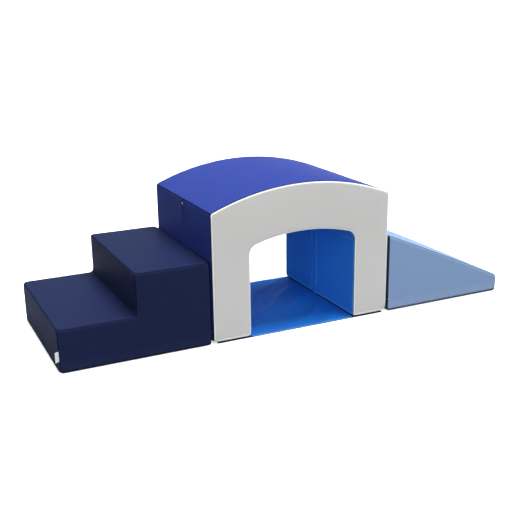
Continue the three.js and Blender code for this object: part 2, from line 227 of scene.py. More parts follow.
# Camera, lamps (strength, width in degrees, way) and floor
IMAGE_WIDTH = 522
FOCAL_PIXELS = 861.1
CAMERA_PLACE = (-1.572, -3.2154, 1.3186)
CAMERA_YAW = 25.43
CAMERA_PITCH = 17.34
CAMERA_ROLL = -0.75
LAMPS = {
    "overhead_light": (4.5, 36, (-0.2, 0, -1)),
    "front_light": (3.55, 115, (0.02, 1, 0)),
    "rear_light": (0.4, 60, (0.1, -1, -0.3)),
}
SURROUND = 0.1
FLOOR_RADIUS = 400
FLOOR_LEVEL = -0.0003
PALE = 0.92
BOUNCE = 0.15
GLOW = 0.6


def corners(node):
    """The lowest and the highest corner of a solid, as arrays."""
    low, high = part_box(node)
    return np.array(low), np.array(high)


ARCH_LOW, ARCH_HIGH = corners("tunnel_front_panel")
REAR = corners("tunnel_rear_panel")[1][Y]
FRONT = ARCH_LOW[Y]
HALF_ARCH = ARCH_HIGH[X]
ROOF_TOP = ARCH_HIGH[Z]
LEG_FOOT = ARCH_LOW[Z]
HALF_OPENING = corners("tunnel_right_inner_wall_front")[0][X]
CORNER_HEIGHT = corners("tunnel_ceiling_panel")[0][Z]
STEPS_LOW, STEPS_HIGH = corners("steps_front_panel")
RISER = corners("steps_upper_riser")[0][X]
LOWER_TREAD = corners("steps_lower_tread")[1][Z]
RAMP_LOW, RAMP_HIGH = corners("ramp_front_panel")
NOSE_HEIGHT = corners("ramp_slide_panel")[0][Z] + SLIDE_SHEET
LEG_ZIP_TOP = corners("tunnel_left_outer_flap")[1][Z]
SEAM_Y = (FRONT + SIDE_DROP, REAR - SIDE_DROP)
HALVES = (("front", -1), ("rear", 1))
LEGS = (("left", -1, LEFT_ZIP), ("right", 1, RIGHT_ZIP))
BLOCK_ENDS = (("steps", 1, STEPS_HIGH[X]), ("ramp", -1, RAMP_LOW[X]))


# Side-view lines


def stations(length, fine_start=True, fine_end=True):
    """Places along a length. The first cell at a seam is fine, each next one is wider by the same
    factor up to the coarse cell, and those in between are even."""
    count = int(math.log(COARSE_CELL / FINE_CELL) / math.log(CELL_GROWTH)) + 1
    graded = np.concatenate([[0.0], np.cumsum(FINE_CELL * CELL_GROWTH ** np.arange(count))])
    graded *= min(1.0, GRADED_SHARE * length / graded[-1])
    start = graded if fine_start else graded[:1]
    end = length - (graded if fine_end else graded[:1])[::-1]
    cells = max(1, math.ceil((end[0] - start[-1]) / COARSE_CELL))
    return np.concatenate([start[:-1], np.linspace(start[-1], end[0], cells + 1), end[1:]])


def arc(centre, radius, start, end):
    """Points of a circle's arc between two angles."""
    count = max(3, math.ceil(abs(end - start) * radius / ARC_CELL))
    angles = np.linspace(start, end, count + 1)
    return np.stack([centre[0] + radius * np.cos(angles), centre[1] + radius * np.sin(angles)], 1)


def lengths(line):
    """The distance along a line from its start to each of its points."""
    return np.concatenate([[0.0], np.cumsum(np.linalg.norm(np.diff(line, axis=0), axis=1))])


def at(places, along, values):
    """The values, known at distances along a line, at other places on it."""
    return np.stack([np.interp(places, along, column) for column in values.T], 1)


class Path:
    """A side-view line from seam to seam, resampled at its stations: points, outward normals and
    distances along it. The normal is the tangent turned a quarter to the left."""

    def __init__(self, *stretches, fine=(True, True)):
        dense = np.concatenate([np.atleast_2d(s) for s in stretches])
        steps = np.linalg.norm(np.diff(dense, axis=0), axis=1)
        dense = dense[np.concatenate([[True], steps > 1e-7])]
        along = lengths(dense)
        self.length = along[-1]
        self.along = stations(self.length, *fine)
        self.points = at(self.along, along, dense)
        tangents = at(self.along, along, np.gradient(dense, along, axis=0))
        tangents /= np.linalg.norm(tangents, axis=1)[:, None]
        self.normals = np.stack([-tangents[:, 1], tangents[:, 0]], 1)


# Swell


def smooth(t):
    """The step 3t^2 - 2t^3 of t held between 0 and 1."""
    t = np.clip(t, 0, 1)
    return t * t * (3 - 2 * t)


def round_off(distance, reach):
    """A quarter ellipse: 0 at an edge, 1 from the reach on."""
    return np.sqrt(1 - (1 - np.clip(distance / reach, 0, 1)) ** 2)


def quarter_fall(share):
    """Very nearly a quarter circle down: 0 up to a share of 0, and 1 from a share of 1 on."""
    return 1 - np.sqrt(1 - np.clip(share, 0, 1) ** 2 * NEARLY)


def line_of(values, middle, width):
    """A narrow bell around a middle value."""
    return np.exp(-(((values - middle) / width) ** 2))


def swell(distance, kind):
    """Share of a panel's full height at a distance from one of its seams: at an outer edge a quarter
    ellipse, and at a flat seam a narrow dip."""
    if kind is None:
        return np.ones_like(distance)
    if kind == "flat":
        return 1 - FLAT_SEAM_DIP * line_of(distance, 0.0, FLAT_SEAM_REACH)
    return round_off(distance, FOOT_REACH if kind == "foot" else EDGE_REACH)


def fold_distance(distance, kind):
    """Distance from a seam as its painted fold shade counts it: shorter where the band of painted shade
    is wide, and far off where there is no seam."""
    return distance * FOLD_SHARES[kind] if kind else np.full_like(distance, NO_SEAM)


def ripple(points, seed, shortest, longest, count=14):
    """A sum of sine waves in seeded directions and lengths, about -1 to 1."""
    rng = np.random.default_rng(seed)
    directions = rng.normal(size=(count, 3))
    directions /= np.linalg.norm(directions, axis=1)[:, None]
    waves = directions * (2 * math.pi / rng.uniform(shortest, longest, count))[:, None]
    phases = rng.uniform(0, 2 * math.pi, count)
    return np.sin(points @ waves.T + phases).sum(-1) / math.sqrt(2 * count)


def lifted(panel, crown):
    """A panel's base moved out along its normals: most of the drop and then, by its crown, the rest
    of it and the crown's rise, both times the share. Puckers fade away from the seam, and long low
    waves run over all of it."""
    base, share, seed = panel.base, panel.share, panel.seed
    height = share * ((1 - SLOW_SHARE) * panel.drop + (SLOW_SHARE * panel.drop + CROWN) * crown)
    height = height * (1 + PUCKER * np.exp(-panel.to_seam / PUCKER_REACH) * ripple(base, seed, *PUCKER_WAVES))
    height = height + WAVE * (ripple(base, seed + 1, *LONG_WAVES) - 1) * share
    return base + panel.normals * height[..., None]


def soften(points, rounds):
    """Rounds corners. In the side view a point less than the radius from the corner along both axes
    goes from its place in the square to its place in the quarter disc, which fades with the depth.
    The corner also draws in from the front or the rear."""
    moved = points.copy()
    for corner, inward, radius in rounds:
        inward = np.array(inward)
        offset = (points - np.array(corner)) * inward
        u, v = (np.clip(1 - offset[..., axis] / radius, 0, 1) for axis in (X, Z))
        scale = np.maximum(u, v) / np.maximum(np.hypot(u, v), 1e-9)
        fade = smooth(1 - np.abs(offset[..., Y]) / (CORNER_DEPTH * radius))
        near = smooth(1 - np.abs(offset) / (CORNER_DEPTH * radius)).prod(-1)
        along_x, along_z = (radius * part * (1 - scale) * fade for part in (u, v))
        moved += np.stack([along_x, CORNER_DRAW * radius * near, along_z], -1) * inward
    return moved


# Meshes


def quads(index):
    """Faces between the neighbours in a grid of point numbers, whose first direction goes along the
    path and the second across it."""
    sides = [index[:-1, :-1], index[1:, :-1], index[1:, 1:], index[:-1, 1:]]
    return np.stack(sides, -1).reshape(-1, 4)


def numbers(rows, cols, first=0):
    """A grid of point numbers."""
    return first + np.arange(rows * cols).reshape(rows, cols)


def closed(index):
    """A grid of point numbers that goes round: its first column comes again after the last one."""
    return np.concatenate([index, index[:, :1]], 1)


def mesh_object(name, points, faces, attributes=None, uv=None):
    """A smooth-shaded mesh object with its place in its mesh."""
    mesh = bpy.data.meshes.new(name)
    mesh.from_pydata(np.asarray(points).reshape(-1, 3).tolist(), [], [list(map(int, f)) for f in faces])
    mesh.polygons.foreach_set("use_smooth", np.ones(len(mesh.polygons), bool))
    for key, values in (attributes or {}).items():
        made = mesh.attributes.new(key, "FLOAT", "POINT")
        made.data.foreach_set("value", np.ravel(values).astype(np.float32))
    if uv is not None:
        corner = np.zeros(len(mesh.loops), np.int32)
        mesh.loops.foreach_get("vertex_index", corner)
        cloth = mesh.uv_layers.new(name="cloth")
        cloth.data.foreach_set("uv", uv.reshape(-1, 2)[corner].ravel().astype(np.float32))
    mesh.update()
    made = bpy.data.objects.new(name, mesh)
    bpy.context.scene.collection.objects.link(made)
    return made


def mesh_points(mesh):
    """The points of a mesh and its normals there."""
    count = len(mesh.vertices)
    points, normals = np.zeros(count * 3), np.zeros(count * 3)
    mesh.vertices.foreach_get("co", points)
    mesh.vertex_normals.foreach_get("vector", normals)
    return points.reshape(-1, 3), normals.reshape(-1, 3)


def apply_modifiers(piece):
    """The mesh as its modifiers leave it, with none of them left."""
    graph = bpy.context.evaluated_depsgraph_get()
    done = bpy.data.meshes.new_from_object(piece.evaluated_get(graph))
    piece.modifiers.clear()
    piece.data = done


def solid_copy(node, name, cell):
    """A copy of a solid with its faces merged and outwards, to be remeshed in even cells."""
    piece = bpy.data.objects.new(name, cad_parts[node].data.copy())
    piece.data.materials.clear()
    bpy.context.scene.collection.objects.link(piece)
    face_outwards(piece)
    cells = piece.modifiers.new("cells", "REMESH")
    cells.mode = "VOXEL"
    cells.voxel_size = cell
    return piece


def face_outwards(piece):
    """Recalculates the normals of closed shells."""
    work = bmesh.new()
    work.from_mesh(piece.data)
    bmesh.ops.remove_doubles(work, verts=work.verts, dist=1e-6)
    bmesh.ops.recalc_face_normals(work, faces=work.faces)
    work.to_mesh(piece.data)
    work.free()
    return piece


def dress(piece, body, slot, *nodes, material=None):
    """The piece gets its material, picked by the slot unless a material is given, joins its body, and the
    solids that it stands for are hidden.
    """
    piece.data.materials.append(MATERIALS[material or slot])
    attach(piece, body)
    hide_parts(*nodes)


def thicken(piece, thickness):
    """Cloth thickness, grown to the inside."""
    wall = piece.modifiers.new("cloth", "SOLIDIFY")
    wall.thickness = thickness
    wall.offset = -1


def carried(centres, across, outward, section):
    """A closed section carried along a path: each point is the path's point plus the section's two
    measures along the across and outward directions there. The ends are closed."""
    wide, high = section[None, :, 0, None], section[None, :, 1, None]
    points = centres[:, None, :] + wide * across[:, None, :] + high * outward[:, None, :]
    index = numbers(*points.shape[:2])
    faces = [*quads(closed(index)).tolist(), index[0].tolist(), index[-1][::-1].tolist()]
    return points.reshape(-1, 3), faces


def superellipse(count, power):
    """Points round a superellipse of half sizes 1: sines and cosines to a power, with their signs."""
    angles = np.linspace(0, 2 * math.pi, count, endpoint=False)
    waves = np.stack([np.cos(angles), np.sin(angles)], 1)
    return np.sign(waves) * np.abs(waves) ** power


def joined(parts):
    """Several point and face lists as one."""
    points, faces, first = [], [], 0
    for part_points, part_faces in parts:
        points.append(part_points)
        faces += [[first + int(i) for i in f] for f in part_faces]
        first += len(part_points)
    return np.concatenate(points), faces


def two_faced(upper, lower):
    """Points and faces of two grids back to back."""
    points = np.concatenate([upper.reshape(-1, 3), lower.reshape(-1, 3)])
    rows, cols = upper.shape[:2]
    back = quads(numbers(rows, cols, rows * cols))[:, ::-1]
    return points, np.concatenate([quads(numbers(rows, cols)), back])


# Covers


def point_tree(points):
    """A search tree of the points, by their numbers."""
    tree = KDTree(len(points))
    for number, point in enumerate(points):
        tree.insert(point, number)
    tree.balance()
    return tree


def nearby(tree, values, points, count=5):
    """At each point the mean of the values at the nearest places, weighted by closeness."""
    means = []
    for point in points:
        found = tree.find_n(point, count)
        weights = np.array([1 / (distance + BLEND_REACH) ** 2 for _, _, distance in found])
        means.append(weights @ values[[number for _, number, _ in found]] / weights.sum())
    return np.array(means)


def inflated_shell(node, base, gap):
    """A cloth simulation of the whole cover: a shell of even cells over the foam, held along its
    seams and blown up a little. Returns the shell's points and how far each rises."""
    shell = solid_copy(node, "cover_shell", SHELL_CELL)
    apply_modifiers(shell)
    start, normals = mesh_points(shell.data)
    tree = point_tree(base)
    held = [number for number, point in enumerate(start) if gap[tree.find(point)[1]] < SEAM_HOLD]
    shell.vertex_groups.new(name="seams").add(held, 1.0, "REPLACE")
    cloth = shell.modifiers.new("cover", "CLOTH")
    cloth.settings.vertex_group_mass = "seams"
    cloth.settings.use_pressure = True
    cloth.settings.uniform_pressure_force = PRESSURE
    cloth.settings.effector_weights.gravity = 0
    cloth.collision_settings.use_collision = False
    cloth.point_cache.frame_end = CLOTH_FRAMES
    for number in range(1, CLOTH_FRAMES + 1):
        bpy.context.scene.frame_set(number)
    apply_modifiers(shell)
    rise = ((mesh_points(shell.data)[0] - start) * normals).sum(-1)
    bpy.context.scene.frame_set(1)
    bpy.data.objects.remove(shell)
    return start, np.maximum(rise, 0)


def distance_to(points, edge):
    """Distance in the side view from each point to a line of points."""
    start, run = edge[:-1], np.diff(edge, axis=0)
    offset = points[:, None, :] - start[None]
    share = np.clip((offset * run).sum(-1) / (run**2).sum(-1), 0, 1)
    return np.linalg.norm(offset - share[..., None] * run, axis=-1).min(1)


def in_depth(low=None, high=None):
    """Depths from the front seam to the rear seam, or from a seam to a loose edge beside a zip."""
    start = SEAM_Y[0] if low is None else low
    end = SEAM_Y[1] if high is None else high
    return start + stations(end - start, low is None, high is None)


def spread(join, values):
    """The values for a path's start and end, and for the front and rear, joined over its grid."""
    start, end, front, rear = values
    return join(join(start, end)[:, None], join(front, rear)[None, :])


class Block:
    """What the panels of one foam block share. They are laid out first, and sewn together when the
    rise of the cover between its seams is known."""

    def __init__(self, body, slot, rounds, seed):
        self.body, self.slot, self.rounds, self.seed = body, slot, rounds, seed
        self.panels = []

    def lay_out(self, node, slot, **measures):
        """Adds a panel, with its measures and a seed of its own."""
        self.seed += 10
        self.panels.append(SimpleNamespace(node=node, slot=slot or self.slot, seed=self.seed, **measures))

    def band(self, node, path, ends=OUTER, sides=OUTER, drop=DROP, depths=None, slot=None):
        """A panel across the depth: the side-view path carried along y, lifted by the product of the
        swells of its four edges, of the kinds given for its ends and for its front and rear. The drop
        is one number, or one for each place along the path."""
        depths = in_depth() if depths is None else depths
        along, across = path.along, depths - depths[0]
        gaps = (along, path.length - along, across, across[-1] - across)
        edges = list(zip(gaps, (*ends, *sides)))
        share = spread(np.multiply, [swell(gap, kind) for gap, kind in edges])
        seam_gaps = [gap if kind else np.full_like(gap, NO_SEAM) for gap, kind in edges]
        base, normals = np.zeros((2, *share.shape, 3))
        base[..., [X, Z]] = path.points[:, None, :]
        base[..., Y] = depths
        normals[..., [X, Z]] = path.normals[:, None, :]
        self.lay_out(
            node,
            slot,
            base=base.reshape(-1, 3),
            normals=normals.reshape(-1, 3),
            drop=np.broadcast_to(np.reshape(drop, (-1, 1)), share.shape).ravel(),
            share=share.ravel(),
            gap=spread(np.minimum, seam_gaps).ravel(),
            # to_seam places the painted shade in the folds and the painted highlight on the rolled edges
            to_seam=spread(np.minimum, [fold_distance(gap, kind) for gap, kind in edges]).ravel(),
            faces=quads(numbers(*share.shape)),
            uv=np.stack(np.meshgrid(along, across, indexing="ij"), -1).reshape(-1, 2),
            flat=(float(path.length), float(across[-1])),
            area=None,
        )

    def side(self, half, towards, grid, edges, faces, area, foot, slot):
        """A front or rear panel: a grid in the side view, lifted along y by the product of the
        swells of its edges, each a line of points. The last edge stands on the floor. towards is -1
        for the front."""
        places = grid.reshape(-1, 2)
        gaps = np.stack([distance_to(places, edge) for edge in edges])
        share = np.prod([swell(gap, "edge") for gap in gaps[:-1]], axis=0) * swell(gaps[-1], foot)
        base = np.insert(places, Y, SEAM_Y[0] if towards < 0 else SEAM_Y[1], axis=1)
        faces = faces if towards < 0 else faces[:, ::-1]
        used = np.unique(faces)
        renumber = np.zeros(len(base), int)
        renumber[used] = np.arange(len(used))
        self.lay_out(
            f"{self.body}_{half}_panel",
            slot,
            base=base[used],
            normals=np.zeros((len(used), 3)) + [0.0, towards, 0.0],
            drop=SIDE_DROP,
            share=share[used],
            gap=gaps.min(0)[used],
            # The fold where the panel stands on the floor gets the wider painted shade of the foot's kind
            to_seam=np.minimum(gaps[:-1].min(0), fold_distance(gaps[-1], foot))[used],
            faces=renumber[faces],
            uv=places[used],
            flat=tuple(map(float, places.max(0) - places.min(0))),
            area=area,
        )

    def close(self, grid, edges, area, zip_axis, zip_places, faces=None, foot="foot", slot=None):
        """Lays out the front and rear panels, sews all of them and puts the foam in."""
        faces = quads(numbers(*grid.shape[:2])) if faces is None else faces
        for half, towards in HALVES:
            self.side(half, towards, grid, edges, faces, area, foot, slot)
        self.sew()
        self.fill(zip_axis, zip_places)

    def crowns(self):
        base = np.concatenate([panel.base for panel in self.panels])
        gap = np.concatenate([panel.gap for panel in self.panels])
        places, rise = inflated_shell(self.body + "_foam_core", base, gap)
        tree = point_tree(places)
        return [np.clip(nearby(tree, rise, panel.base) / FULL_RISE, 0, 1) for panel in self.panels]

    def sew(self):
        """Makes the panels: thin sheets stretched over the foam, flat where the block stands."""
        stand = min(corners(panel.node)[0][Z] for panel in self.panels)
        for panel, crown in zip(self.panels, self.crowns()):
            points = soften(lifted(panel, crown), self.rounds)
            points[:, Z] = np.maximum(points[:, Z], stand)
            marks = {"to_seam": panel.to_seam}
            piece = mesh_object(panel.node + "_cover", points, panel.faces, marks, panel.uv)
            thicken(piece, SKIN)
            dress(piece, self.body, panel.slot, panel.node)

    def fill(self, zip_axis, zip_places):
        """The foam inside: a copy of the solid, remeshed, drawn in along its normals and smoothed, so
        that its edges are round and lie inside the cover's seams. Along the zips it is pressed in a
        little more."""
        node = self.body + "_foam_core"
        piece = solid_copy(node, self.body + "_foam", FOAM_CELL)
        rounding = piece.modifiers.new("rounding", "SMOOTH")
        rounding.factor = 0.5
        rounding.iterations = 2
        apply_modifiers(piece)
        points, normals = mesh_points(piece.data)
        depth, reach = ZIP_CHANNEL
        near = [smooth(1 - np.abs(points[:, zip_axis] - place) / reach) for place in zip_places]
        points = points - (FOAM_INSET + depth * np.max(near, axis=0))[:, None] * normals
        piece.data.vertices.foreach_set("co", soften(points, self.rounds).ravel())
        piece.data.polygons.foreach_set("use_smooth", np.ones(len(piece.data.polygons), bool))
        dress(piece, self.body, "foam", node)


# Node groups and materials


WHITE = (1.0, 1.0, 1.0, 1.0)
SOCKETS = {1: "NodeSocketFloat", 3: "NodeSocketVector", 4: "NodeSocketColor"}
PLACE = {"Vector": (0, 0, 0)}
DYED = {**PLACE, "Color": WHITE}

# The colour of the painted shade in a fold, how the scuffs are stretched and turned, the colour of dust
# and how high it lies, and the shares of scuffs and dust on a cover
FOLD_SHADE_COLOUR = (0.0, 0.0, 0.003, 1.0)
SCUFF_STRETCH = (9, 60, 22)
SCUFF_TURN = (0.3, 0.5, 0.6)
DUST_COLOUR = (0.42, 0.42, 0.43, 1.0)
DUST_HEIGHT = 0.03
COVER_SCUFFS = 0.05
COVER_DUST = 0.02

# Height of the covers' grain, and of a thread beside it
GRAIN_HEIGHT = 0.00012
THREAD_SHARE = 3.0


class Nodes:
    """A shader node tree with short ways to add to it."""

    def __init__(self, tree):
        self.tree = tree

    def put(self, value, socket):
        """Links a socket to another one, or sets its value."""
        if isinstance(value, bpy.types.NodeSocket):
            self.tree.links.new(value, socket)
        else:
            socket.default_value = value

    def add(self, kind, inputs=None, **settings):
        """A node with its settings, and its inputs set or linked by name or number."""
        made = self.tree.nodes.new("ShaderNode" + kind)
        for key, value in settings.items():
            setattr(made, key, value)
        for key, value in (inputs or {}).items():
            self.put(value, made.inputs[key])
        return made

    def math(self, operation, first, second=0.0, third=0.0, clamp=False):
        """The result of a sum on one to three values."""
        inputs = {0: first, 1: second, 2: third}
        return self.add("Math", inputs, operation=operation, use_clamp=clamp).outputs[0]

    def mix(self, factor, first, second):
        """The first colour at a factor of 0, the second at 1."""
        return self.add("Mix", {0: factor, 6: first, 7: second}, data_type="RGBA").outputs[2]

    def step(self, value, low, high, start=0.0, end=1.0):
        """A smooth step of the value from low to high, between start and end."""
        inputs = {0: value, 1: low, 2: high, 3: start, 4: end}
        return self.add("MapRange", inputs, interpolation_type="SMOOTHSTEP").outputs[0]

    def noise(self, vector, scale, detail, roughness=0.5):
        """The value of a noise at a place."""
        inputs = {"Vector": vector, "Scale": scale, "Detail": detail, "Roughness": roughness}
        return self.add("TexNoise", inputs).outputs["Fac"]

    def stretched(self, vector, scale, rotation=(0, 0, 0)):
        """A place scaled and turned."""
        return self.add("Mapping", {"Vector": vector, "Scale": scale, "Rotation": rotation}).outputs[0]

    def mark(self, name):
        """A value painted on the mesh."""
        return self.add("Attribute", attribute_name=name).outputs["Fac"]

    def use(self, name, **inputs):
        """A shared group with its own values."""
        named = {key.replace("_", " "): value for key, value in inputs.items()}
        return self.add("Group", named, node_tree=GROUPS[name]).outputs


def new_group(name, inputs, outputs):
    """An empty node group: its nodes, its given values and its results. The inputs have a start value
    each, and the outputs a value of their kind."""
    tree = bpy.data.node_groups.new(name, "ShaderNodeTree")
    for key, value in inputs.items():
        made = tree.interface.new_socket(key, in_out="INPUT", socket_type=SOCKETS[np.size(value)])
        made.default_value = value
    for key, value in outputs.items():
        tree.interface.new_socket(key, in_out="OUTPUT", socket_type=SOCKETS[np.size(value)])
    return Nodes(tree), tree.nodes.new("NodeGroupInput").outputs, tree.nodes.new("NodeGroupOutput").inputs


def grain_group():
    """Pressed grain of coated fabric: rounded cells with fine creases between them."""
    nodes, given, out = new_group("cover_grain", {**PLACE, "Scale": 750.0}, {"Height": 0.0, "Creases": 0.0})
    place, scale = given["Vector"], given["Scale"]
    inputs = {"Vector": place, "Scale": scale, "Randomness": 1.0}
    cells = nodes.add("TexVoronoi", inputs, feature="DISTANCE_TO_EDGE")
    fine = nodes.noise(place, nodes.math("MULTIPLY", scale, 2.3), 3.0)
    pillows = nodes.step(cells.outputs["Distance"], 0.0, 0.22)
    nodes.put(nodes.math("MULTIPLY_ADD", fine, 0.35, pillows), out["Height"])
    nodes.put(nodes.math("SUBTRACT", 1.0, pillows), out["Creases"])
    return nodes.tree


def tone_group():
    """Slow unevenness of a dyed coating: the colour's brightness varies in wide soft clouds."""
    nodes, given, out = new_group("cover_tone", {**DYED, "Amount": 0.1}, {"Color": WHITE, "Clouds": 0.0})
    wide = nodes.noise(given["Vector"], 3.5, 2.0)
    streaks = nodes.noise(given["Vector"], 26.0, 4.0)
    centred = nodes.math("SUBTRACT", nodes.math("MULTIPLY_ADD", streaks, 0.4, wide), 0.7)
    bright = nodes.math("MULTIPLY_ADD", centred, given["Amount"], 1.0)
    tinted = nodes.add("VectorMath", {0: given["Color"], "Scale": bright}, operation="SCALE")
    nodes.put(tinted.outputs[0], out["Color"])
    nodes.put(nodes.math("ADD", centred, 0.5, clamp=True), out["Clouds"])
    return nodes.tree


def seam_group():
    """Beside a seam: a dark line of painted shade in the fold, then a painted highlight on the rolled edge,
    broken by noise.
    """
    values = {"To Seam": 1.0, "Fold Width": 0.002, "Fold Dark": 0.7, "Rub Width": 0.008, "Rub Light": 0.2}
    nodes, given, out = new_group("seam_shade_and_highlight", {**DYED, **values, "Rub Color": WHITE}, {"Color": WHITE})
    noise = nodes.noise(given["Vector"], 60.0, 4.0)
    # Painted shade in the fold and a painted highlight on the rolled edge, by the distance to the seam
    fold = nodes.step(nodes.math("DIVIDE", given["To Seam"], given["Fold Width"]), 0.35, 1.0, 1.0, 0.0)
    highlight_mask = nodes.step(nodes.math("DIVIDE", given["To Seam"], given["Rub Width"]), 0.45, 1.0, 1.0, 0.0)
    highlight_mask = nodes.math("MULTIPLY", highlight_mask, nodes.step(noise, 0.1, 0.6, 0.6, 1.0))
    light = nodes.math("MULTIPLY", highlight_mask, given["Rub Light"])
    highlighted = nodes.mix(light, given["Color"], given["Rub Color"])
    dark = nodes.math("MULTIPLY", fold, given["Fold Dark"])
    nodes.put(nodes.mix(dark, highlighted, FOLD_SHADE_COLOUR), out["Color"])
    return nodes.tree


def scuff_group():
    """Handling: short pale scuffs, and a film of dust that thickens towards the floor."""
    values = {**DYED, "Scuffs": 0.1, "Dust": 0.1}
    nodes, given, out = new_group("scuffs", values, {"Color": WHITE, "Mask": 0.0})
    place = given["Vector"]
    marks = nodes.noise(nodes.stretched(place, SCUFF_STRETCH, SCUFF_TURN), 1.6, 5.0, 0.7)
    marks = nodes.step(marks, 0.63, 0.8)
    height = nodes.add("SeparateXYZ", {0: place}).outputs["Z"]
    low = nodes.step(height, 0.0, DUST_HEIGHT, 1.0, 0.0)
    dust = nodes.math("MULTIPLY", low, nodes.noise(place, 45.0, 5.0))
    dust = nodes.math("MULTIPLY", dust, given["Dust"])
    mask = nodes.math("MULTIPLY_ADD", marks, given["Scuffs"], dust, clamp=True)
    nodes.put(nodes.mix(mask, given["Color"], DUST_COLOUR), out["Color"])
    nodes.put(mask, out["Mask"])
    return nodes.tree


def weave_group():
    """Plain weave on the cloth's own measures: threads over and under, from two crossed waves."""
    nodes, given, out = new_group("plain_weave", {**PLACE, "Pitch": 0.0008}, {"Height": 0.0})
    parts = nodes.add("SeparateXYZ", {0: given["Vector"]})
    turns = [nodes.math("DIVIDE", parts.outputs[axis], given["Pitch"]) for axis in "XY"]
    waves = [nodes.math("SINE", nodes.math("MULTIPLY", turn, math.pi)) for turn in turns]
    nodes.put(nodes.math("MULTIPLY_ADD", nodes.math("MULTIPLY", *waves), 0.5, 0.5), out["Height"])
    return nodes.tree


def stitch_group():
    """Two rows of stitches on a flap, on its own measures: dashes of one pitch along the row, each a
    round bump with a hole at its ends."""
    nodes, given, out = new_group("stitch_rows", {**PLACE, "Where": 0.0, "Pitch": 0.0035}, {"Thread": 0.0})
    parts = nodes.add("SeparateXYZ", {0: given["Vector"]})
    turns = nodes.math("DIVIDE", parts.outputs["X"], given["Pitch"])
    dash = nodes.step(nodes.math("SINE", nodes.math("MULTIPLY", turns, 2 * math.pi)), -0.75, -0.35)
    offs = [nodes.math("SUBTRACT", parts.outputs["Y"], row) for row in (SEWN_ROW, HEM_ROW)]
    rows = [nodes.step(nodes.math("ABSOLUTE", off), 0.0001, 0.0005, 1.0, 0.0) for off in offs]
    shown = nodes.math("MULTIPLY", nodes.math("MAXIMUM", *rows), given["Where"])
    nodes.put(nodes.math("MULTIPLY", dash, shown), out["Thread"])
    return nodes.tree


GROUPS = {
    "grain": grain_group(),
    "tone": tone_group(),
    "seam": seam_group(),
    "scuffs": scuff_group(),
    "weave": weave_group(),
    "stitches": stitch_group(),
}


def new_material(name, **constants):
    """A material: itself, its nodes, its Principled shader with constants on its own sockets, and the
    Object and UV coordinates."""
    made = bpy.data.materials.new(name)
    made.use_nodes = True
    shader = made.node_tree.nodes["Principled BSDF"]
    for key, value in constants.items():
        shader.inputs[key.replace("_", " ")].default_value = value
    nodes = Nodes(made.node_tree)
    coords = nodes.add("TexCoord").outputs
    return made, nodes, shader, coords["Object"], coords["UV"]


def finish(nodes, shader, colour, roughness, height, distance):
    """Links a material's colour and roughness to its shader, and its height as a bump."""
    bump = nodes.add("Bump", {"Height": height, "Distance": distance, "Strength": 1.0})
    nodes.put(colour, shader.inputs["Base Color"])
    nodes.put(roughness, shader.inputs["Roughness"])
    nodes.put(bump.outputs[0], shader.inputs["Normal"])


def cover_material(
    name,
    colour,
    highlight_colour,
    highlight_strength=0.45,
    fold_dark=0.88,
    fold_width=0.002,
    highlight_width=0.008,
    gloss=0.42,
    tone=0.16,
    ior=1.04,
):
    """Coated fabric over foam: grain, slow clouds, painted shade in the folds, a painted highlight on
    the rolled edges, scuffs, and rows of stitches where a piece is marked as stitched."""
    made, nodes, shader, place, uv = new_material(name + "_coated_fabric", IOR=ior)
    dyed = nodes.use("tone", Vector=place, Color=(*colour, 1.0), Amount=tone)
    # Painted shade in the folds beside the seams, and a painted highlight on the rolled edges
    sewn = nodes.use(
        "seam",
        Vector=place,
        Color=dyed["Color"],
        To_Seam=nodes.mark("to_seam"),
        Fold_Dark=fold_dark,
        Fold_Width=fold_width,
        Rub_Width=highlight_width,
        Rub_Light=highlight_strength,
        Rub_Color=(*highlight_colour, 1.0),
    )
    shares = {"Scuffs": COVER_SCUFFS, "Dust": COVER_DUST}
    worn = nodes.use("scuffs", Vector=place, Color=sewn["Color"], **shares)
    grain = nodes.use("grain", Vector=place)
    rough = nodes.math("MULTIPLY_ADD", dyed["Clouds"], 0.1, gloss - 0.05)
    rough = nodes.math("MULTIPLY_ADD", grain["Creases"], 0.1, rough)
    rough = nodes.math("MULTIPLY_ADD", worn["Mask"], 0.4, rough, clamp=True)
    thread = nodes.use("stitches", Vector=uv, Where=nodes.mark("stitched"))["Thread"]
    thread_colour = [min(1.0, 1.5 * part + 0.01) for part in colour]
    shown = nodes.mix(thread, worn["Color"], (*thread_colour, 1.0))
    height = nodes.math("MULTIPLY_ADD", thread, THREAD_SHARE, grain["Height"])
    finish(nodes, shader, shown, rough, height, GRAIN_HEIGHT)
    return made


def foam_material():
    """Open-cell foam: pores with painted shade in them, and a slightly yellowed tone."""
    made, nodes, shader, place, _ = new_material("open_cell_foam", Specular_IOR_Level=0.2)
    toned = nodes.use("tone", Vector=place, Color=(0.8, 0.72, 0.48, 1.0), Amount=0.2)
    pores = nodes.add("TexVoronoi", {"Vector": place, "Scale": 900.0}).outputs["Distance"]
    shaded = nodes.mix(nodes.step(pores, 0.2, 0.7, 0.35, 0.0), toned["Color"], (0.3, 0.22, 0.1, 1.0))
    finish(nodes, shader, shaded, nodes.math("MULTIPLY_ADD", toned["Clouds"], 0.1, 0.85), pores, 0.0006)
    return made


def woven_material(name, level, pitch, colour, tone, hollow_shade, rough, depth):
    """A woven ribbon, such as zip tape: a plain weave on its own measures, with painted shade between its
    threads.
    rough is the change of the roughness over a thread, and its least value."""
    made, nodes, shader, place, uv = new_material(name, Specular_IOR_Level=level)
    woven = nodes.use("weave", Vector=uv, Pitch=pitch)["Height"]
    toned = nodes.use("tone", Vector=place, Color=colour, Amount=tone)
    shaded = nodes.mix(woven, hollow_shade, toned["Color"])
    finish(nodes, shader, shaded, nodes.math("MULTIPLY_ADD", woven, *rough), woven, depth)
    return made


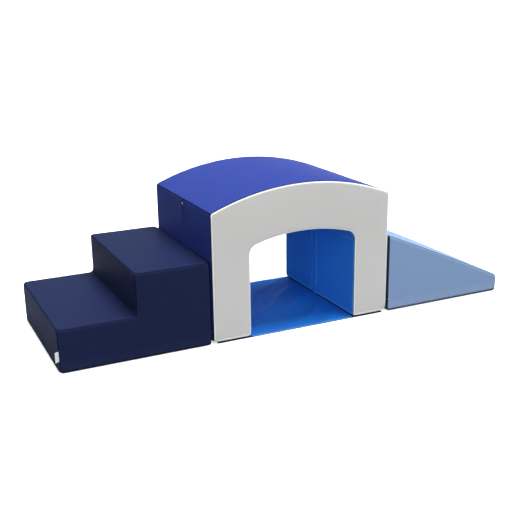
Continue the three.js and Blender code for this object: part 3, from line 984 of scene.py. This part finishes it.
def metal_material():
    """Nickel plate: fine brushed lines, and duller spots from handling."""
    made, nodes, shader, place, _ = new_material("nickel_plate", Metallic=1.0)
    brushed = nodes.noise(nodes.stretched(place, (400, 3000, 3000)), 1.0, 3.0)
    worn = nodes.step(nodes.noise(place, 350.0, 4.0), 0.5, 0.7)
    colour = nodes.mix(worn, (0.62, 0.62, 0.61, 1.0), (0.42, 0.41, 0.4, 1.0))
    finish(nodes, shader, colour, nodes.math("MULTIPLY_ADD", worn, 0.2, 0.22), brushed, 0.00003)
    return made


def fastener_material(name, scale, depth, fuzz):
    """Hook or loop tape: rows of small stiff hooks, or a brushed pile, with painted shade where it is low."""
    made, nodes, shader, place, _ = new_material(name, Sheen_Weight=fuzz, Specular_IOR_Level=0.3)
    inputs = {"Vector": place, "Scale": scale, "Randomness": 0.25 + 0.75 * fuzz}
    bumps = nodes.add("TexVoronoi", inputs).outputs["Distance"]
    fluff = nodes.noise(place, scale * 0.6, 5.0)
    height = nodes.math("MULTIPLY_ADD", fluff, 0.6, nodes.math("SUBTRACT", 1.0, bumps))
    colour = nodes.mix(nodes.step(bumps, 0.1, 0.6), (0.03, 0.032, 0.04, 1.0), (0.004, 0.004, 0.006, 1.0))
    finish(nodes, shader, colour, nodes.math("MULTIPLY_ADD", fluff, 0.2, 0.7), height, depth)
    return made


# Each cover: its colour, then the colour and strength of the painted highlight on its rolled edges, the
# darkness and width of the painted shade in its folds, and the width of the highlight
MATERIALS = {
    "navy_cover": cover_material("navy", (0.0135, 0.0205, 0.064), (0.03, 0.042, 0.12), 0.15, 0.6),
    "royal_cover": cover_material(
        "royal", (0.031, 0.054, 0.274), (0.06, 0.09, 0.4), 0.15, 0.92, 0.0026, gloss=0.36, ior=1.03
    ),
    # The grey's rolled edges get a strong, nearly white painted highlight, and its folds a light, narrow
    # painted shade
    "grey_cover": cover_material(
        "light_grey", (0.65, 0.65, 0.645), (1.0, 1.0, 1.0), 0.9, 0.4, 0.001, 0.0055, tone=0.06
    ),
    "blue_cover": cover_material("medium_blue", (0.036, 0.27, 0.86), (0.15, 0.5, 0.9)),
    # The mat's cover is the lining's medium blue painted darker, as shade for the mat under the tunnel, and a
    # little glossier
    "mat_cover": cover_material("mat", (0.014, 0.17, 0.62), (0.12, 0.4, 0.8), ior=1.07),
    "powder_cover": cover_material(
        "powder_blue", (0.235, 0.355, 0.58), (0.42, 0.52, 0.72), 0.2, 0.85, tone=0.08, ior=1.03
    ),
    "foam": foam_material(),
    "zip_tape": woven_material(
        "zip_tape_weave",
        0.4,
        0.0007,
        (0.012, 0.015, 0.035, 1.0),
        0.3,
        (0.004, 0.005, 0.012, 1.0),
        (-0.15, 0.65),
        0.0002,
    ),
    "zip_metal": metal_material(),
    "loop_tape": fastener_material("loop_pile", 900.0, 0.0008, 0.6),
    "hook_tape": fastener_material("hook_rows", 650.0, 0.001, 0.0),
    "tag_cloth": woven_material(
        "white_ribbon",
        0.35,
        0.0004,
        (0.86, 0.87, 0.9, 1.0),
        0.15,
        (0.7, 0.71, 0.75, 1.0),
        (0.1, 0.5),
        0.00008,
    ),
}


# Steps and ramp


def box_rounds(x, z, inward_x, front, rear=None):
    """The corners at one x and height on the front and the rear, with the ways into the block and
    their radii."""
    inward_z = -1 if z > FLOOR_REACH else 1
    ends = [(SEAM_Y[0], 1, front), (SEAM_Y[1], -1, front if rear is None else rear)]
    return [((x, y, z), (inward_x, inward, inward_z), radius) for y, inward, radius in ends]


def bridge_corner(grid, corner, centre, radius):
    """A side view's grid with its inner corner drawn out onto the arc that bridges it. A point of
    either edge less than the radius from the corner moves to the same share of its half of the arc,
    and the points inside the block move with it by smooth steps that fade with distance."""
    back, up = corner[0] - grid[..., 0], grid[..., 1] - corner[1]

    def edge_move(distance):
        share = np.clip(distance / radius, 0, 1)
        angle = -math.pi / 4 * (1 + share)
        moved_x = centre[0] + radius * np.cos(angle) - (corner[0] - share * radius)
        return moved_x, centre[1] + radius * np.sin(angle) - corner[1]

    fades = [smooth(1 - np.maximum(-past, 0) / BRIDGE_REACH) for past in (back, up)]
    tread = np.stack(edge_move(np.maximum(back, 0)), -1)
    riser = -np.stack(edge_move(np.maximum(up, 0))[::-1], -1)
    return grid + (fades[0] * fades[1])[..., None] * np.where((up > 0)[..., None], riser, tread)


def lip_drop(from_zip):
    """Drop of a base panel at distances from its zip: the sides' drop on the upright lip, and the
    foot's drop below."""
    lip = BLOCK_ZIP - ZIP_HALF_SLOT
    return FOOT_DROP + (DROP - FOOT_DROP) * smooth((lip - from_zip) / (lip / 2))


def build_steps():
    left, right, riser = STEPS_LOW[X] + DROP, STEPS_HIGH[X] - DROP, RISER + DROP
    foot, tread, top = FOOT_DROP, LOWER_TREAD - DROP, STEPS_HIGH[Z] - DROP
    rounds = (
        box_rounds(left, foot, 1, MIDDLE_ROUND)
        + box_rounds(left, tread, 1, MIDDLE_ROUND)
        + box_rounds(riser, top, 1, UPPER_ROUND, TIGHT_ROUND)
        + box_rounds(right, top, -1, BACK_ROUND)
        + box_rounds(right, foot, -1, SMALL_ROUND)
    )
    block = Block("steps", "navy_cover", rounds, 100)
    centre, radius = (RISER - INNER_ROUND, LOWER_TREAD + INNER_ROUND), INNER_ROUND + DROP
    lower_bend = arc(centre, radius, -math.pi / 2, -math.pi / 4)
    upper_bend = arc(centre, radius, -math.pi / 4, 0)
    block.band("steps_lower_riser", Path([(left, foot), (left, tread)]), ("foot", "edge"))
    lower_tread = Path([(left, tread)], lower_bend, fine=(True, False))
    block.band("steps_lower_tread", lower_tread, ("edge", None))
    upper_riser = Path(upper_bend, [(riser, top)], fine=(False, True))
    block.band("steps_upper_riser", upper_riser, (None, "edge"))
    block.band("steps_upper_tread", Path([(riser, top), (right, top)]))
    end = Path([(right, top), (right, BLOCK_ZIP + ZIP_HALF_SLOT)], fine=(True, False))
    block.band("steps_end_panel", end, ("edge", None), GAP)
    turn = arc((right - BASE_TURN, foot + BASE_TURN), BASE_TURN, 0, -math.pi / 2)
    base = Path([(right, BLOCK_ZIP - ZIP_HALF_SLOT)], turn, [(left, foot)], fine=(False, True))
    block.band("steps_base_panel", base, (None, "foot"), GAP, lip_drop(base.along))

    outline = [
        [(left, foot), (left, tread)],
        [(left, tread), (centre[0], tread)],
        [*lower_bend, *upper_bend[1:]],
        [(riser, centre[1]), (riser, top)],
        [(riser, top), (right, top)],
        [(right, top), (right, foot)],
        [(right, foot), (left, foot)],
    ]
    x = np.concatenate([left + stations(riser - left)[:-1], riser + stations(right - riser)])
    z = np.concatenate([foot + stations(tread - foot)[:-1], tread + stations(top - tread)])
    grid = np.stack(np.meshgrid(x, z, indexing="ij"), -1)
    faces = quads(numbers(len(x), len(z)))
    middles = grid.reshape(-1, 2)[faces].mean(1)
    faces = faces[(middles[:, 0] > riser) | (middles[:, 1] < tread)]
    grid = bridge_corner(grid, (riser, tread), centre, radius)
    area = float((right - left) * (tread - foot) + (right - riser) * (top - tread))
    block.close(grid, list(map(np.array, outline)), area, Z, [BLOCK_ZIP], faces)


def build_ramp():
    left, right = RAMP_LOW[X] + DROP, RAMP_HIGH[X] - DROP
    slope = (RAMP_HIGH[Z] - NOSE_HEIGHT) / (RAMP_HIGH[X] - RAMP_LOW[X])
    level = RAMP_HIGH[Z] - DROP * math.hypot(1, slope)
    foot, top, nose = FOOT_DROP, level - slope * DROP, level - slope * (right - RAMP_LOW[X])
    rounds = (
        box_rounds(left, top, 1, TIGHT_ROUND)
        + box_rounds(left, foot, 1, TIGHT_ROUND)
        + box_rounds(right, nose, -1, TIGHT_ROUND)
        + box_rounds(right, foot, -1, SMALL_ROUND)
    )
    block = Block("ramp", "powder_cover", rounds, 400)

    def slide_height(x):
        """A straight slope that rises in its middle by a parabola."""
        share = (x - left) / (right - left)
        return top - slope * (x - left) + 4 * SLIDE_RISE * share * (1 - share)

    slide_x = np.linspace(left, right, 200)
    slide = np.stack([slide_x, slide_height(slide_x)], 1)
    block.band("ramp_slide_panel", Path(slide))
    block.band("ramp_nose_panel", Path([(right, nose), (right, foot)]), ("edge", "foot"))
    end = Path([(left, BLOCK_ZIP + ZIP_HALF_SLOT), (left, top)], fine=(False, True))
    block.band("ramp_end_panel", end, (None, "edge"), GAP)
    turn = arc((left + BASE_TURN, foot + BASE_TURN), BASE_TURN, -math.pi / 2, -math.pi)
    base = Path([(right, foot)], turn, [(left, BLOCK_ZIP - ZIP_HALF_SLOT)], fine=(True, False))
    block.band("ramp_base_panel", base, ("foot", None), GAP, lip_drop(base.length - base.along))

    outline = [
        [(left, foot), (left, top)],
        slide,
        [(right, nose), (right, foot)],
        [(right, foot), (left, foot)],
    ]
    x = left + stations(right - left)
    upward = stations(top - foot) / (top - foot)
    z = foot + (slide_height(x) - foot)[:, None] * upward
    grid = np.stack([np.broadcast_to(x[:, None], z.shape), z], -1)
    area = float((right - left) * (top + nose - 2 * foot) / 2)
    block.close(grid, list(map(np.array, outline)), area, Z, [BLOCK_ZIP])


# Tunnel


def circle(half, rise, top):
    """Radius and centre height of the arc through (-half, top - rise), (0, top), (half, top - rise)."""
    radius = (half * half + rise * rise) / (2 * rise)
    return radius, top - radius


def build_tunnel():
    outer, inner, foot = HALF_ARCH - DROP, HALF_OPENING + OPENING_DROP, LEG_FOOT + FOOT_DROP
    radius, centre = circle(HALF_ARCH, ROOF_RISE, ROOF_TOP)
    roof_radius = radius - DROP
    spring = centre + math.sqrt(roof_radius**2 - outer**2)
    roof_end = math.atan2(spring - centre, outer)
    ceiling_top = corners("tunnel_ceiling_panel")[1][Z] - SHEET
    ceiling_radius, ceiling_centre = circle(HALF_OPENING, CEILING_RISE, ceiling_top)
    corner_x = HALF_OPENING - CEILING_CORNER
    corner_angle = math.atan2(CORNER_HEIGHT - ceiling_centre, corner_x)
    corner_radius = CEILING_CORNER + OPENING_DROP
    right_corner = arc((corner_x, CORNER_HEIGHT), corner_radius, 0, corner_angle)
    ceiling = arc((0, ceiling_centre), ceiling_radius + OPENING_DROP, corner_angle, math.pi - corner_angle)
    left_corner = arc((-corner_x, CORNER_HEIGHT), corner_radius, math.pi - corner_angle, math.pi)
    roof = arc((0, centre), roof_radius, math.pi - roof_end, roof_end)

    rounds = []
    for side in (-1, 1):
        rounds += box_rounds(side * outer, spring, -side, TIGHT_ROUND)
        rounds += box_rounds(side * outer, foot, -side, MIDDLE_ROUND if side < 0 else WIDE_ROUND)
        rounds += box_rounds(side * inner, foot, side, SMALL_ROUND)
    block = Block("tunnel", "royal_cover", rounds, 700)
    block.band("tunnel_roof_panel", Path(roof), sides=("shaded", "shaded"))
    lining = {"drop": OPENING_DROP, "slot": "blue_cover"}
    block.band("tunnel_ceiling_panel", Path(right_corner, ceiling, left_corner), ("flat", "flat"), **lining)
    for name, side, zip_y in LEGS:
        order = -side
        outer_line = Path([(side * outer, foot), (side * outer, spring)][::order])
        inner_line = Path([(side * inner, CORNER_HEIGHT), (side * inner, foot)][::order])
        foot_line = Path(sorted([(side * outer, foot), (side * inner, foot)], reverse=True))
        outer_ends, inner_ends = ("shaded", "edge")[::order], ("flat", "shaded")[::order]
        spans = (in_depth(high=zip_y - ZIP_HALF_SLOT), in_depth(low=zip_y + ZIP_HALF_SLOT))
        for (half, towards), depths in zip(HALVES, spans):
            node = f"tunnel_{name}_{{}}_{half}"
            shaded, edge = (("shaded", None)[::-towards], ("edge", None)[::-towards])
            block.band(node.format("outer_wall"), outer_line, outer_ends, shaded, depths=depths)
            block.band(node.format("inner_wall"), inner_line, inner_ends, edge, depths=depths, **lining)
            block.band(node.format("foot"), foot_line, GAP, shaded, FOOT_DROP, depths)

    opening = np.concatenate([[(inner, foot)], right_corner, ceiling, left_corner, [(-inner, foot)]])
    left, right = np.array([(-outer, foot), (-outer, spring)]), np.array([(outer, spring), (outer, foot)])
    edges = [left, roof, right, opening, np.array([(outer, foot), (-outer, foot)])]
    height = ROOF_TOP - LEG_FOOT
    area = float(2 * outer * (height - ROOF_RISE / 3) - 2 * inner * (ceiling_top - CEILING_RISE / 3 - foot))
    grid = arch_grid(left, roof, right, opening)
    block.close(grid, edges, area, Y, [LEFT_ZIP, RIGHT_ZIP], foot="shaded", slot="grey_cover")


def at_shares(line, shares):
    """Points of a line at shares of its length."""
    along = lengths(line)
    return at(shares * along[-1], along, line)


def arch_grid(left, roof, right, opening):
    """A grid over the arch's side view: its first index goes from the left foot over the top to the
    right foot, the second from the opening out to the outer edge. Rows join an outer point and an
    inner point, and two rows run from the middles of the opening's corners to the roof's ends."""
    along = lengths(opening)
    total = along[-1]
    bend = CORNER_HEIGHT - opening[0][1] + 0.5 * (CEILING_CORNER + OPENING_DROP) * CORNER_TURN
    leg, top = lengths(left)[-1], lengths(roof)[-1]
    leg_shares, roof_shares = stations(leg) / leg, stations(top) / top
    outer = [at_shares(left, leg_shares), at_shares(roof, roof_shares), at_shares(right, leg_shares)]
    over_top = (total - bend) + (2 * bend - total) * roof_shares
    inner_places = (total - bend * leg_shares, over_top, bend * (1 - leg_shares))
    inner = [at(places, along, opening) for places in inner_places]
    outer, inner = (np.concatenate([line[0][:-1], line[1], line[2][1:]]) for line in (outer, inner))
    width = HALF_ARCH - HALF_OPENING
    shares = stations(width) / width
    return (inner[:, None, :] + (outer - inner)[:, None, :] * shares[None, :, None])[:, ::-1]


def build_mat():
    """The floor mat: two faces that meet at a thin edge. A face is half the thickness times the edge
    swell away from the middle level. Between the legs the upper face also has soft slanting folds:
    ridges of a sine's even power along a wandering slant, which come and go with a slow ripple."""
    low, high = corners("mat_cover")
    x, y = (low[axis] + stations(high[axis] - low[axis]) for axis in (X, Y))
    gx, gy = np.meshgrid(x, y, indexing="ij")
    gap = np.minimum.reduce([gx - low[X], high[X] - gx, gy - low[Y], high[Y] - gy])
    middle, half = (low[Z] + high[Z]) / 2, (high[Z] - low[Z]) / 2
    edge = round_off(gap, MAT_ROUND)
    margin, fade = FOLD_MARGIN
    shown = smooth((HALF_OPENING - margin - np.abs(gx)) / fade)
    place = np.stack([gx, gy, np.zeros_like(gx)], -1)
    slant = (FOLD_SLANT[0] * gx + FOLD_SLANT[1] * gy) * FOLD_TURNS
    slant = slant + FOLD_WANDER * ripple(place, *WANDER_WAVES)
    usual, varied = FOLD_STRENGTH
    strength = np.clip(usual + varied * ripple(place, *STRENGTH_WAVES), 0, 1)
    fold = FOLD_HEIGHT * strength * np.sin(slant) ** FOLD_POWER
    fold = fold + CREASE_HEIGHT * ripple(place, *CREASE_WAVES)
    gy = gy * (1 - np.where(gy < 0, MAT_FRONT_INSET, MAT_REAR_INSET) / high[Y])
    gx = gx * (1 - MAT_END_INSET / high[X])
    # Painted shade: between the legs a thin dark line along the mat's edge, and under the legs all of the
    # upper face, so that its edge shows dark there. The lower face is dark all over.
    far = np.where(np.abs(gx) < HALF_OPENING, gap + MAT_EDGE, 0.0)
    upper = np.stack([gx, gy, middle + half * edge + shown * edge * fold], -1)
    lower = np.stack([gx, gy, middle - half * edge], -1)
    marks = {"to_seam": np.stack([far, np.zeros_like(far)])}
    piece = face_outwards(mesh_object("mat_padded_cover", *two_faced(upper, lower), marks))
    dress(piece, "tunnel", "blue_cover", "mat_cover", "mat_foam", material="mat_cover")


# Zips


def zip_piece(node, body, centres, outward, way):
    """One side of a zip on its run: a flat tape, and a coil whose round section swells and shrinks
    by a sine once in each pitch."""
    across = np.zeros_like(centres) + way
    tape = centres - TAPE_DEPTH * outward + np.mean(TAPE) * across
    section = superellipse(12, 0.5) * [(TAPE[1] - TAPE[0]) / 2, TAPE_THICKNESS / 2]
    parts = [carried(tape, across, outward, section)]
    along = lengths(centres)
    fine = np.arange(0, along[-1], COIL_PITCH / 5)
    run, out, over = (at(fine, along, values) for values in (centres, outward, across))
    beat = (1 + COIL_BEAT * np.sin(2 * math.pi * fine / COIL_PITCH))[:, None]
    middle = run - COIL_DEPTH * out + np.mean(COIL) * over
    section = superellipse(8, 0.5) * [COIL_SECTION[0] / 2, COIL_SECTION[1] / 2]
    parts.append(carried(middle, over * beat, out * beat, section))
    points, faces = joined(parts)
    piece = face_outwards(mesh_object(node + "_woven", points, faces, uv=points[:, [1, 2]]))
    dress(piece, body, "zip_tape", node)


def leg_zip_run(side, zip_y):
    """The zip's run round one leg, in side view three sides of a rounded rectangle on the faces."""
    turn, low = LEG_ZIP_TURN, LEG_FOOT
    line = [
        [(HALF_ARCH, LEG_ZIP_TOP + LEG_ZIP_END)],
        arc((HALF_ARCH - turn, low + turn), turn, 0, -math.pi / 2),
        arc((HALF_OPENING + turn, low + turn), turn, -math.pi / 2, -math.pi),
        [(HALF_OPENING, CORNER_HEIGHT - LEG_ZIP_END)],
    ]
    line = np.concatenate([np.atleast_2d(s) for s in line])
    if side < 0:
        line = line[::-1] * [-1, 1]
    run = Path(line, fine=(False, False))
    return np.insert(run.points, Y, zip_y, axis=1), np.insert(run.normals, Y, 0.0, axis=1)


def build_zips():
    for name, side, zip_y in LEGS:
        centres, outward = leg_zip_run(side, zip_y)
        for half, towards in HALVES:
            zip_piece(f"tunnel_{name}_zip_tape_{half}", "tunnel", centres, outward, (0, towards, 0))
    for body, side, face in BLOCK_ENDS:
        y = np.linspace(*SEAM_Y, 120)
        gap = np.minimum(y - SEAM_Y[0], SEAM_Y[1] - y)
        x = face - side * DROP * (1 - swell(gap, "edge"))
        centres = np.stack([x, y, np.full_like(y, BLOCK_ZIP)], 1)
        outward = np.zeros_like(centres) + [side, 0, 0]
        for half, towards in (("upper", 1), ("lower", -1)):
            zip_piece(f"{body}_zip_tape_{half}", body, centres, outward, (0, 0, towards))


def pull_tab(around=10, count=40):
    """A flat loop: round it the middle line and half width lie between two superellipses, and the
    section is a flat oval of the thickness. It is turned to lie across the zip."""
    rim = superellipse(count, 0.7)
    out, inn = (rim * size[:2] + [size[2], 0] for size in TAB_OUTLINES)
    section = superellipse(around, 0.5)
    points = np.zeros((count, around, 3))
    points[..., :2] = ((out + inn) / 2)[:, None, :] + ((out - inn) / 2)[:, None, :] * section[None, :, :1]
    points[..., 2] = TAB_THICKNESS / 2 * section[:, 1]
    ring = closed(numbers(count, around))
    turned = np.stack([-points[..., 1], points[..., 0], points[..., 2] + TAB_LEVEL], -1)
    return turned.reshape(-1, 3), quads(np.concatenate([ring, ring[:1]])).tolist()


def plate(forward, length, nose, tail, low, high, count=24, layers=8):
    """A slider plate: a superellipse in plan whose width runs from the tail to the nose, and whose
    layers draw in towards the upper and lower faces by a share times 1 - sqrt(1 - |level|^3)."""
    level = np.linspace(-1, 1, layers)[:, None]
    rim = superellipse(count, 0.6)
    x = length / 2 * rim[:, 0]
    y = (tail + (nose - tail) * (x / length + 0.5)) / 2 * rim[:, 1]
    draw = 1 - PLATE_DRAW * quarter_fall(np.abs(level) ** 1.5)
    z = (low + high) / 2 + (high - low) / 2 * level
    points = np.stack(np.broadcast_arrays(x * draw + forward, y * draw, z), -1)
    index = numbers(layers, count)
    faces = [*quads(closed(index)).tolist(), index[0].tolist(), index[-1][::-1].tolist()]
    return points.reshape(-1, 3), faces


def build_slider(node, body, place, outward, closing, tab_way):
    """A slider over the coils: two plates joined at the nose, and a flat pull tab with a slot. The
    tab lies across the zip, towards tab_way."""
    points, faces = joined([*(plate(*sizes) for sizes in SLIDER_PLATES), pull_tab()])
    axes = np.array([closing, tab_way, outward], float)
    piece = face_outwards(mesh_object(node + "_plated", points @ axes + np.array(place), faces))
    dress(piece, body, "zip_metal", node)


def build_sliders():
    for name, side, zip_y in LEGS:
        node = f"tunnel_{name}_zip_slider"
        place = (side * HALF_ARCH, zip_y, sum(corners(node))[Z] / 2)
        build_slider(node, f"tunnel_{name}_slider", place, (side, 0, 0), (0, 0, 1), (0, -1, 0))
    for body, side, face in BLOCK_ENDS:
        node = f"{body}_zip_slider"
        place = (face, sum(corners(node))[Y] / 2, BLOCK_ZIP)
        build_slider(node, f"{body}_slider", place, (side, 0, 0), (0, -1, 0), (0, 0, -1))


# Flaps, strips and tag


def build_flap(node, x, side, way, zip_y, top, drop, top_kind, slot):
    """A flap over a zip: sewn flat to the wall along its rear edge, it rises to pass the slider, and
    its loose front edge turns down to the wall by a quarter circle, except near the ends of the
    slider's way, where the tab comes out. Its height is a smooth step across it, the hem is a low
    ridge, and the loose edge waves a little. way is -1 or 1, out from the wall."""
    foot = LEG_FOOT + FLAP_CLEARANCE
    spans = [np.linspace(*span) for span in FLAP_SPANS]
    across = np.concatenate([spans[0][:-1], spans[1][:-1], spans[2]])
    gz, gy = np.meshgrid(foot + stations(top - foot), across, indexing="ij")
    place = np.stack([np.full_like(gy, x), gy, gz], -1)

    def past(start, width):
        """Widths past a start, on the way to the loose edge."""
        return (start - gy) / width

    off = drop * swell(gz - foot, "edge") * swell(top - gz, top_kind) - drop + FLAP_LEVEL
    off += STEP_UP[0] * smooth(past(*STEP_UP[1:])) + HEM[0] * smooth(past(HEM_ROW, HEM[1]))
    for row, depth, width in GROOVES:
        off -= depth * line_of(gy, row, width)
    loose = smooth(past(*LOOSE))
    off += WAVE_OUT * loose * ripple(place, 900 + int(1000 * abs(x)), *OUT_WAVES)
    into_mouths = (gz - top + MOUTHS[0], foot + MOUTHS[1] - gz)
    mouth = np.maximum(*(smooth(depth / MOUTH_EDGE) for depth in into_mouths))
    off -= TURN_DOWN[0] * (1 - mouth) * quarter_fall(past(*TURN_DOWN[1:]))
    y = zip_y + gy + WAVE_SIDEWAYS * loose * ripple(place, 77, *SIDEWAYS_WAVES)
    points = np.stack([side * x + way * off, y, gz], -1)
    faces = quads(numbers(*gz.shape))[:, ::way]
    ends = (FLAP_SPANS[0][0], FLAP_SPANS[-1][1])
    sides = [extra + np.abs(gy - end) for extra, end in zip(FLAP_EDGES, ends)]
    # Distance for the painted fold shade and the painted edge highlight: from the top, the foot and each side
    far = np.minimum.reduce([top - gz, gz - foot, *sides])
    marks = {"to_seam": far, "stitched": np.ones_like(far)}
    piece = mesh_object(node + "_cloth", points, faces, marks, np.stack([gz, gy], -1))
    thicken(piece, FLAP_SKIN)
    dress(piece, "tunnel", slot, node)


def build_flaps():
    for name, side, zip_y in LEGS:
        node = f"tunnel_{name}_{{}}_flap"
        outer = (LEG_ZIP_TOP + FLAP_TUCK, DROP, "edge", "royal_cover")
        build_flap(node.format("outer"), HALF_ARCH, side, side, zip_y, *outer)
        inner = (CORNER_HEIGHT, OPENING_DROP, "flat", "blue_cover")
        build_flap(node.format("inner"), HALF_OPENING, side, -side, zip_y, *inner)


def build_strip(node, body, slot, way):
    """A fastener strip: a thin pad with round corners in plan, whose edge falls as a quarter ellipse
    and whose border is pressed down along a stitched line. way is -1 or 1, out from the wall."""
    low, high = corners(node)
    root, out = (low[X], high[X]) if way > 0 else (high[X], low[X])
    y, z = (low[axis] + stations(high[axis] - low[axis]) for axis in (Y, Z))
    gy, gz = np.meshgrid(y, z, indexing="ij")
    middle, half = (low + high) / 2, (high - low) / 2
    from_y, from_z = np.abs(gy - middle[Y]), np.abs(gz - middle[Z])
    gap = np.minimum(half[Y] - from_y, half[Z] - from_z)
    reach = np.sqrt(np.clip(from_y / half[Y], 0, 1) ** 8 + (from_z / half[Z]) ** 40)
    ys = middle[Y] + (gy - middle[Y]) * (1 - STRIP_DRAW * smooth(reach - 0.3))
    pressed = 1 - STRIP_STITCH[0] * line_of(gap, *STRIP_STITCH[1:])
    face = root + (out - root) * round_off(gap, STRIP_EDGE) * pressed
    points = [np.stack([x, ys, gz], -1) for x in (face, np.full_like(face, root))]
    piece = face_outwards(mesh_object(node + "_sewn", *two_faced(*points)))
    dress(piece, body, slot, node)


def build_strips():
    for half, _ in HALVES:
        for name, side, _ in LEGS:
            build_strip(f"tunnel_{name}_loop_strip_{half}", "tunnel", "loop_tape", side)
        for body, side, _ in BLOCK_ENDS:
            build_strip(f"{body}_hook_strip_{half}", body, "hook_tape", side)


def build_tag():
    """The tag in the corner seam: a ribbon that leaves the seam, turns back in a round fold and
    returns, with its outer end bent a little to the front."""
    low, high = corners("steps_fabric_tag")
    t = np.linspace(0, 1, 61)
    turn = np.sin(np.pi * t)
    out = (high[X] - low[X] + TAG_HIDDEN) * turn**0.75
    apart = (TAG_APART * np.cos(np.pi * t) * (TAG_CLOSED + (1 - TAG_CLOSED) * turn))[:, None]
    go, gz = np.meshgrid(out, low[Z] + stations(high[Z] - low[Z]), indexing="ij")
    varied, turns = TAG_VARIES
    bend = TAG_BEND * go**2 * (1 + varied * np.sin((gz - low[Z]) * turns))
    points = np.stack([high[X] + TAG_HIDDEN - go, FRONT + TAG_IN + apart - TAG_LEAN * go - bend, gz], -1)
    uv = np.stack([np.broadcast_to(t[:, None] * TAG_LENGTH, gz.shape), gz], -1)
    piece = mesh_object("steps_folded_tag", points, quads(numbers(*go.shape)), uv=uv)
    thicken(piece, TAG_SKIN)
    dress(piece, "steps", "tag_cloth", "steps_fabric_tag")


# Camera, light and floor


def set_camera():
    """The camera's axes: forward from yaw and downward pitch, right level, up square to both, and
    the picture turned by the roll."""
    yaw, pitch, roll = (math.radians(a) for a in (CAMERA_YAW, CAMERA_PITCH, CAMERA_ROLL))
    forward = Vector((math.sin(yaw) * math.cos(pitch), math.cos(yaw) * math.cos(pitch), -math.sin(pitch)))
    right = Vector((math.cos(yaw), -math.sin(yaw), 0))
    up = right.cross(forward)
    turned_right = right * math.cos(roll) + up * math.sin(roll)
    turned_up = up * math.cos(roll) - right * math.sin(roll)
    data = bpy.data.cameras.new("photo_camera")
    data.sensor_width = 36
    data.lens = FOCAL_PIXELS / IMAGE_WIDTH * data.sensor_width
    data.clip_end = 2 * FLOOR_RADIUS
    camera = bpy.data.objects.new("photo_camera", data)
    bpy.context.scene.collection.objects.link(camera)
    axes = Matrix((turned_right, turned_up, -forward)).transposed().to_4x4()
    camera.matrix_world = Matrix.Translation(CAMERA_PLACE) @ axes
    bpy.context.scene.camera = camera


def set_light():
    """Plain soft studio light: a surround that looks white and shines dimly, and wide lamps far away.
    One is overhead and leans a little from the right, so that the left faces lie in shade, a very
    wide one shines from the front and fades inside the tunnel, and a weak one comes from the rear."""
    world = bpy.data.worlds.new("white_studio")
    world.use_nodes = True
    nodes = Nodes(world.node_tree)
    lighting = nodes.add("LightPath").outputs["Is Diffuse Ray"]
    background = world.node_tree.nodes["Background"]
    background.inputs["Color"].default_value = WHITE
    nodes.put(nodes.math("MULTIPLY_ADD", lighting, SURROUND - 1, 1.0), background.inputs["Strength"])
    bpy.context.scene.world = world
    for name, (strength, width, way) in LAMPS.items():
        data = bpy.data.lights.new(name, "SUN")
        data.energy = strength
        data.angle = math.radians(width)
        lamp = bpy.data.objects.new(name, data)
        lamp.rotation_euler = Vector(way).to_track_quat("-Z", "Y").to_euler()
        bpy.context.scene.collection.objects.link(lamp)
    bpy.context.scene.view_settings.view_transform = "Standard"


def build_floor():
    """A wide pale floor: a disc of rings whose radii grow with the fourth power. It glows a little to
    the camera, and throws less light back than it shows."""
    radii = np.linspace(0, 1, 30)[1:] ** 4 * FLOOR_RADIUS
    angles = np.linspace(0, 2 * math.pi, 72, endpoint=False)
    around = np.stack([np.cos(angles), np.sin(angles)], -1)
    points = np.concatenate([[[0.0, 0.0]], (radii[:, None, None] * around).reshape(-1, 2)])
    points = np.insert(points, Z, FLOOR_LEVEL, axis=1)
    index = closed(numbers(len(radii), len(angles), 1))
    fan = [[0, first, second] for first, second in zip(index[0], index[0, 1:])]
    floor = mesh_object("studio_floor", points, fan + quads(index).tolist())
    made, nodes, shader, place, _ = new_material("pale_floor", Specular_IOR_Level=0.0, Emission_Color=WHITE)
    path = nodes.add("LightPath").outputs
    pale = nodes.mix(path["Is Diffuse Ray"], (PALE, PALE, PALE, 1.0), (BOUNCE, BOUNCE, BOUNCE, 1.0))
    toned = nodes.use("tone", Vector=place, Color=pale, Amount=0.02)
    nodes.put(toned["Color"], shader.inputs["Base Color"])
    nodes.put(nodes.math("MULTIPLY_ADD", toned["Clouds"], 0.05, 0.7), shader.inputs["Roughness"])
    nodes.put(nodes.math("MULTIPLY", path["Is Camera Ray"], GLOW), shader.inputs["Emission Strength"])
    floor.data.materials.append(made)


set_camera()
build_steps()
build_tunnel()
build_mat()
build_ramp()
build_zips()
build_sliders()
build_flaps()
build_strips()
build_tag()
build_floor()
set_light()
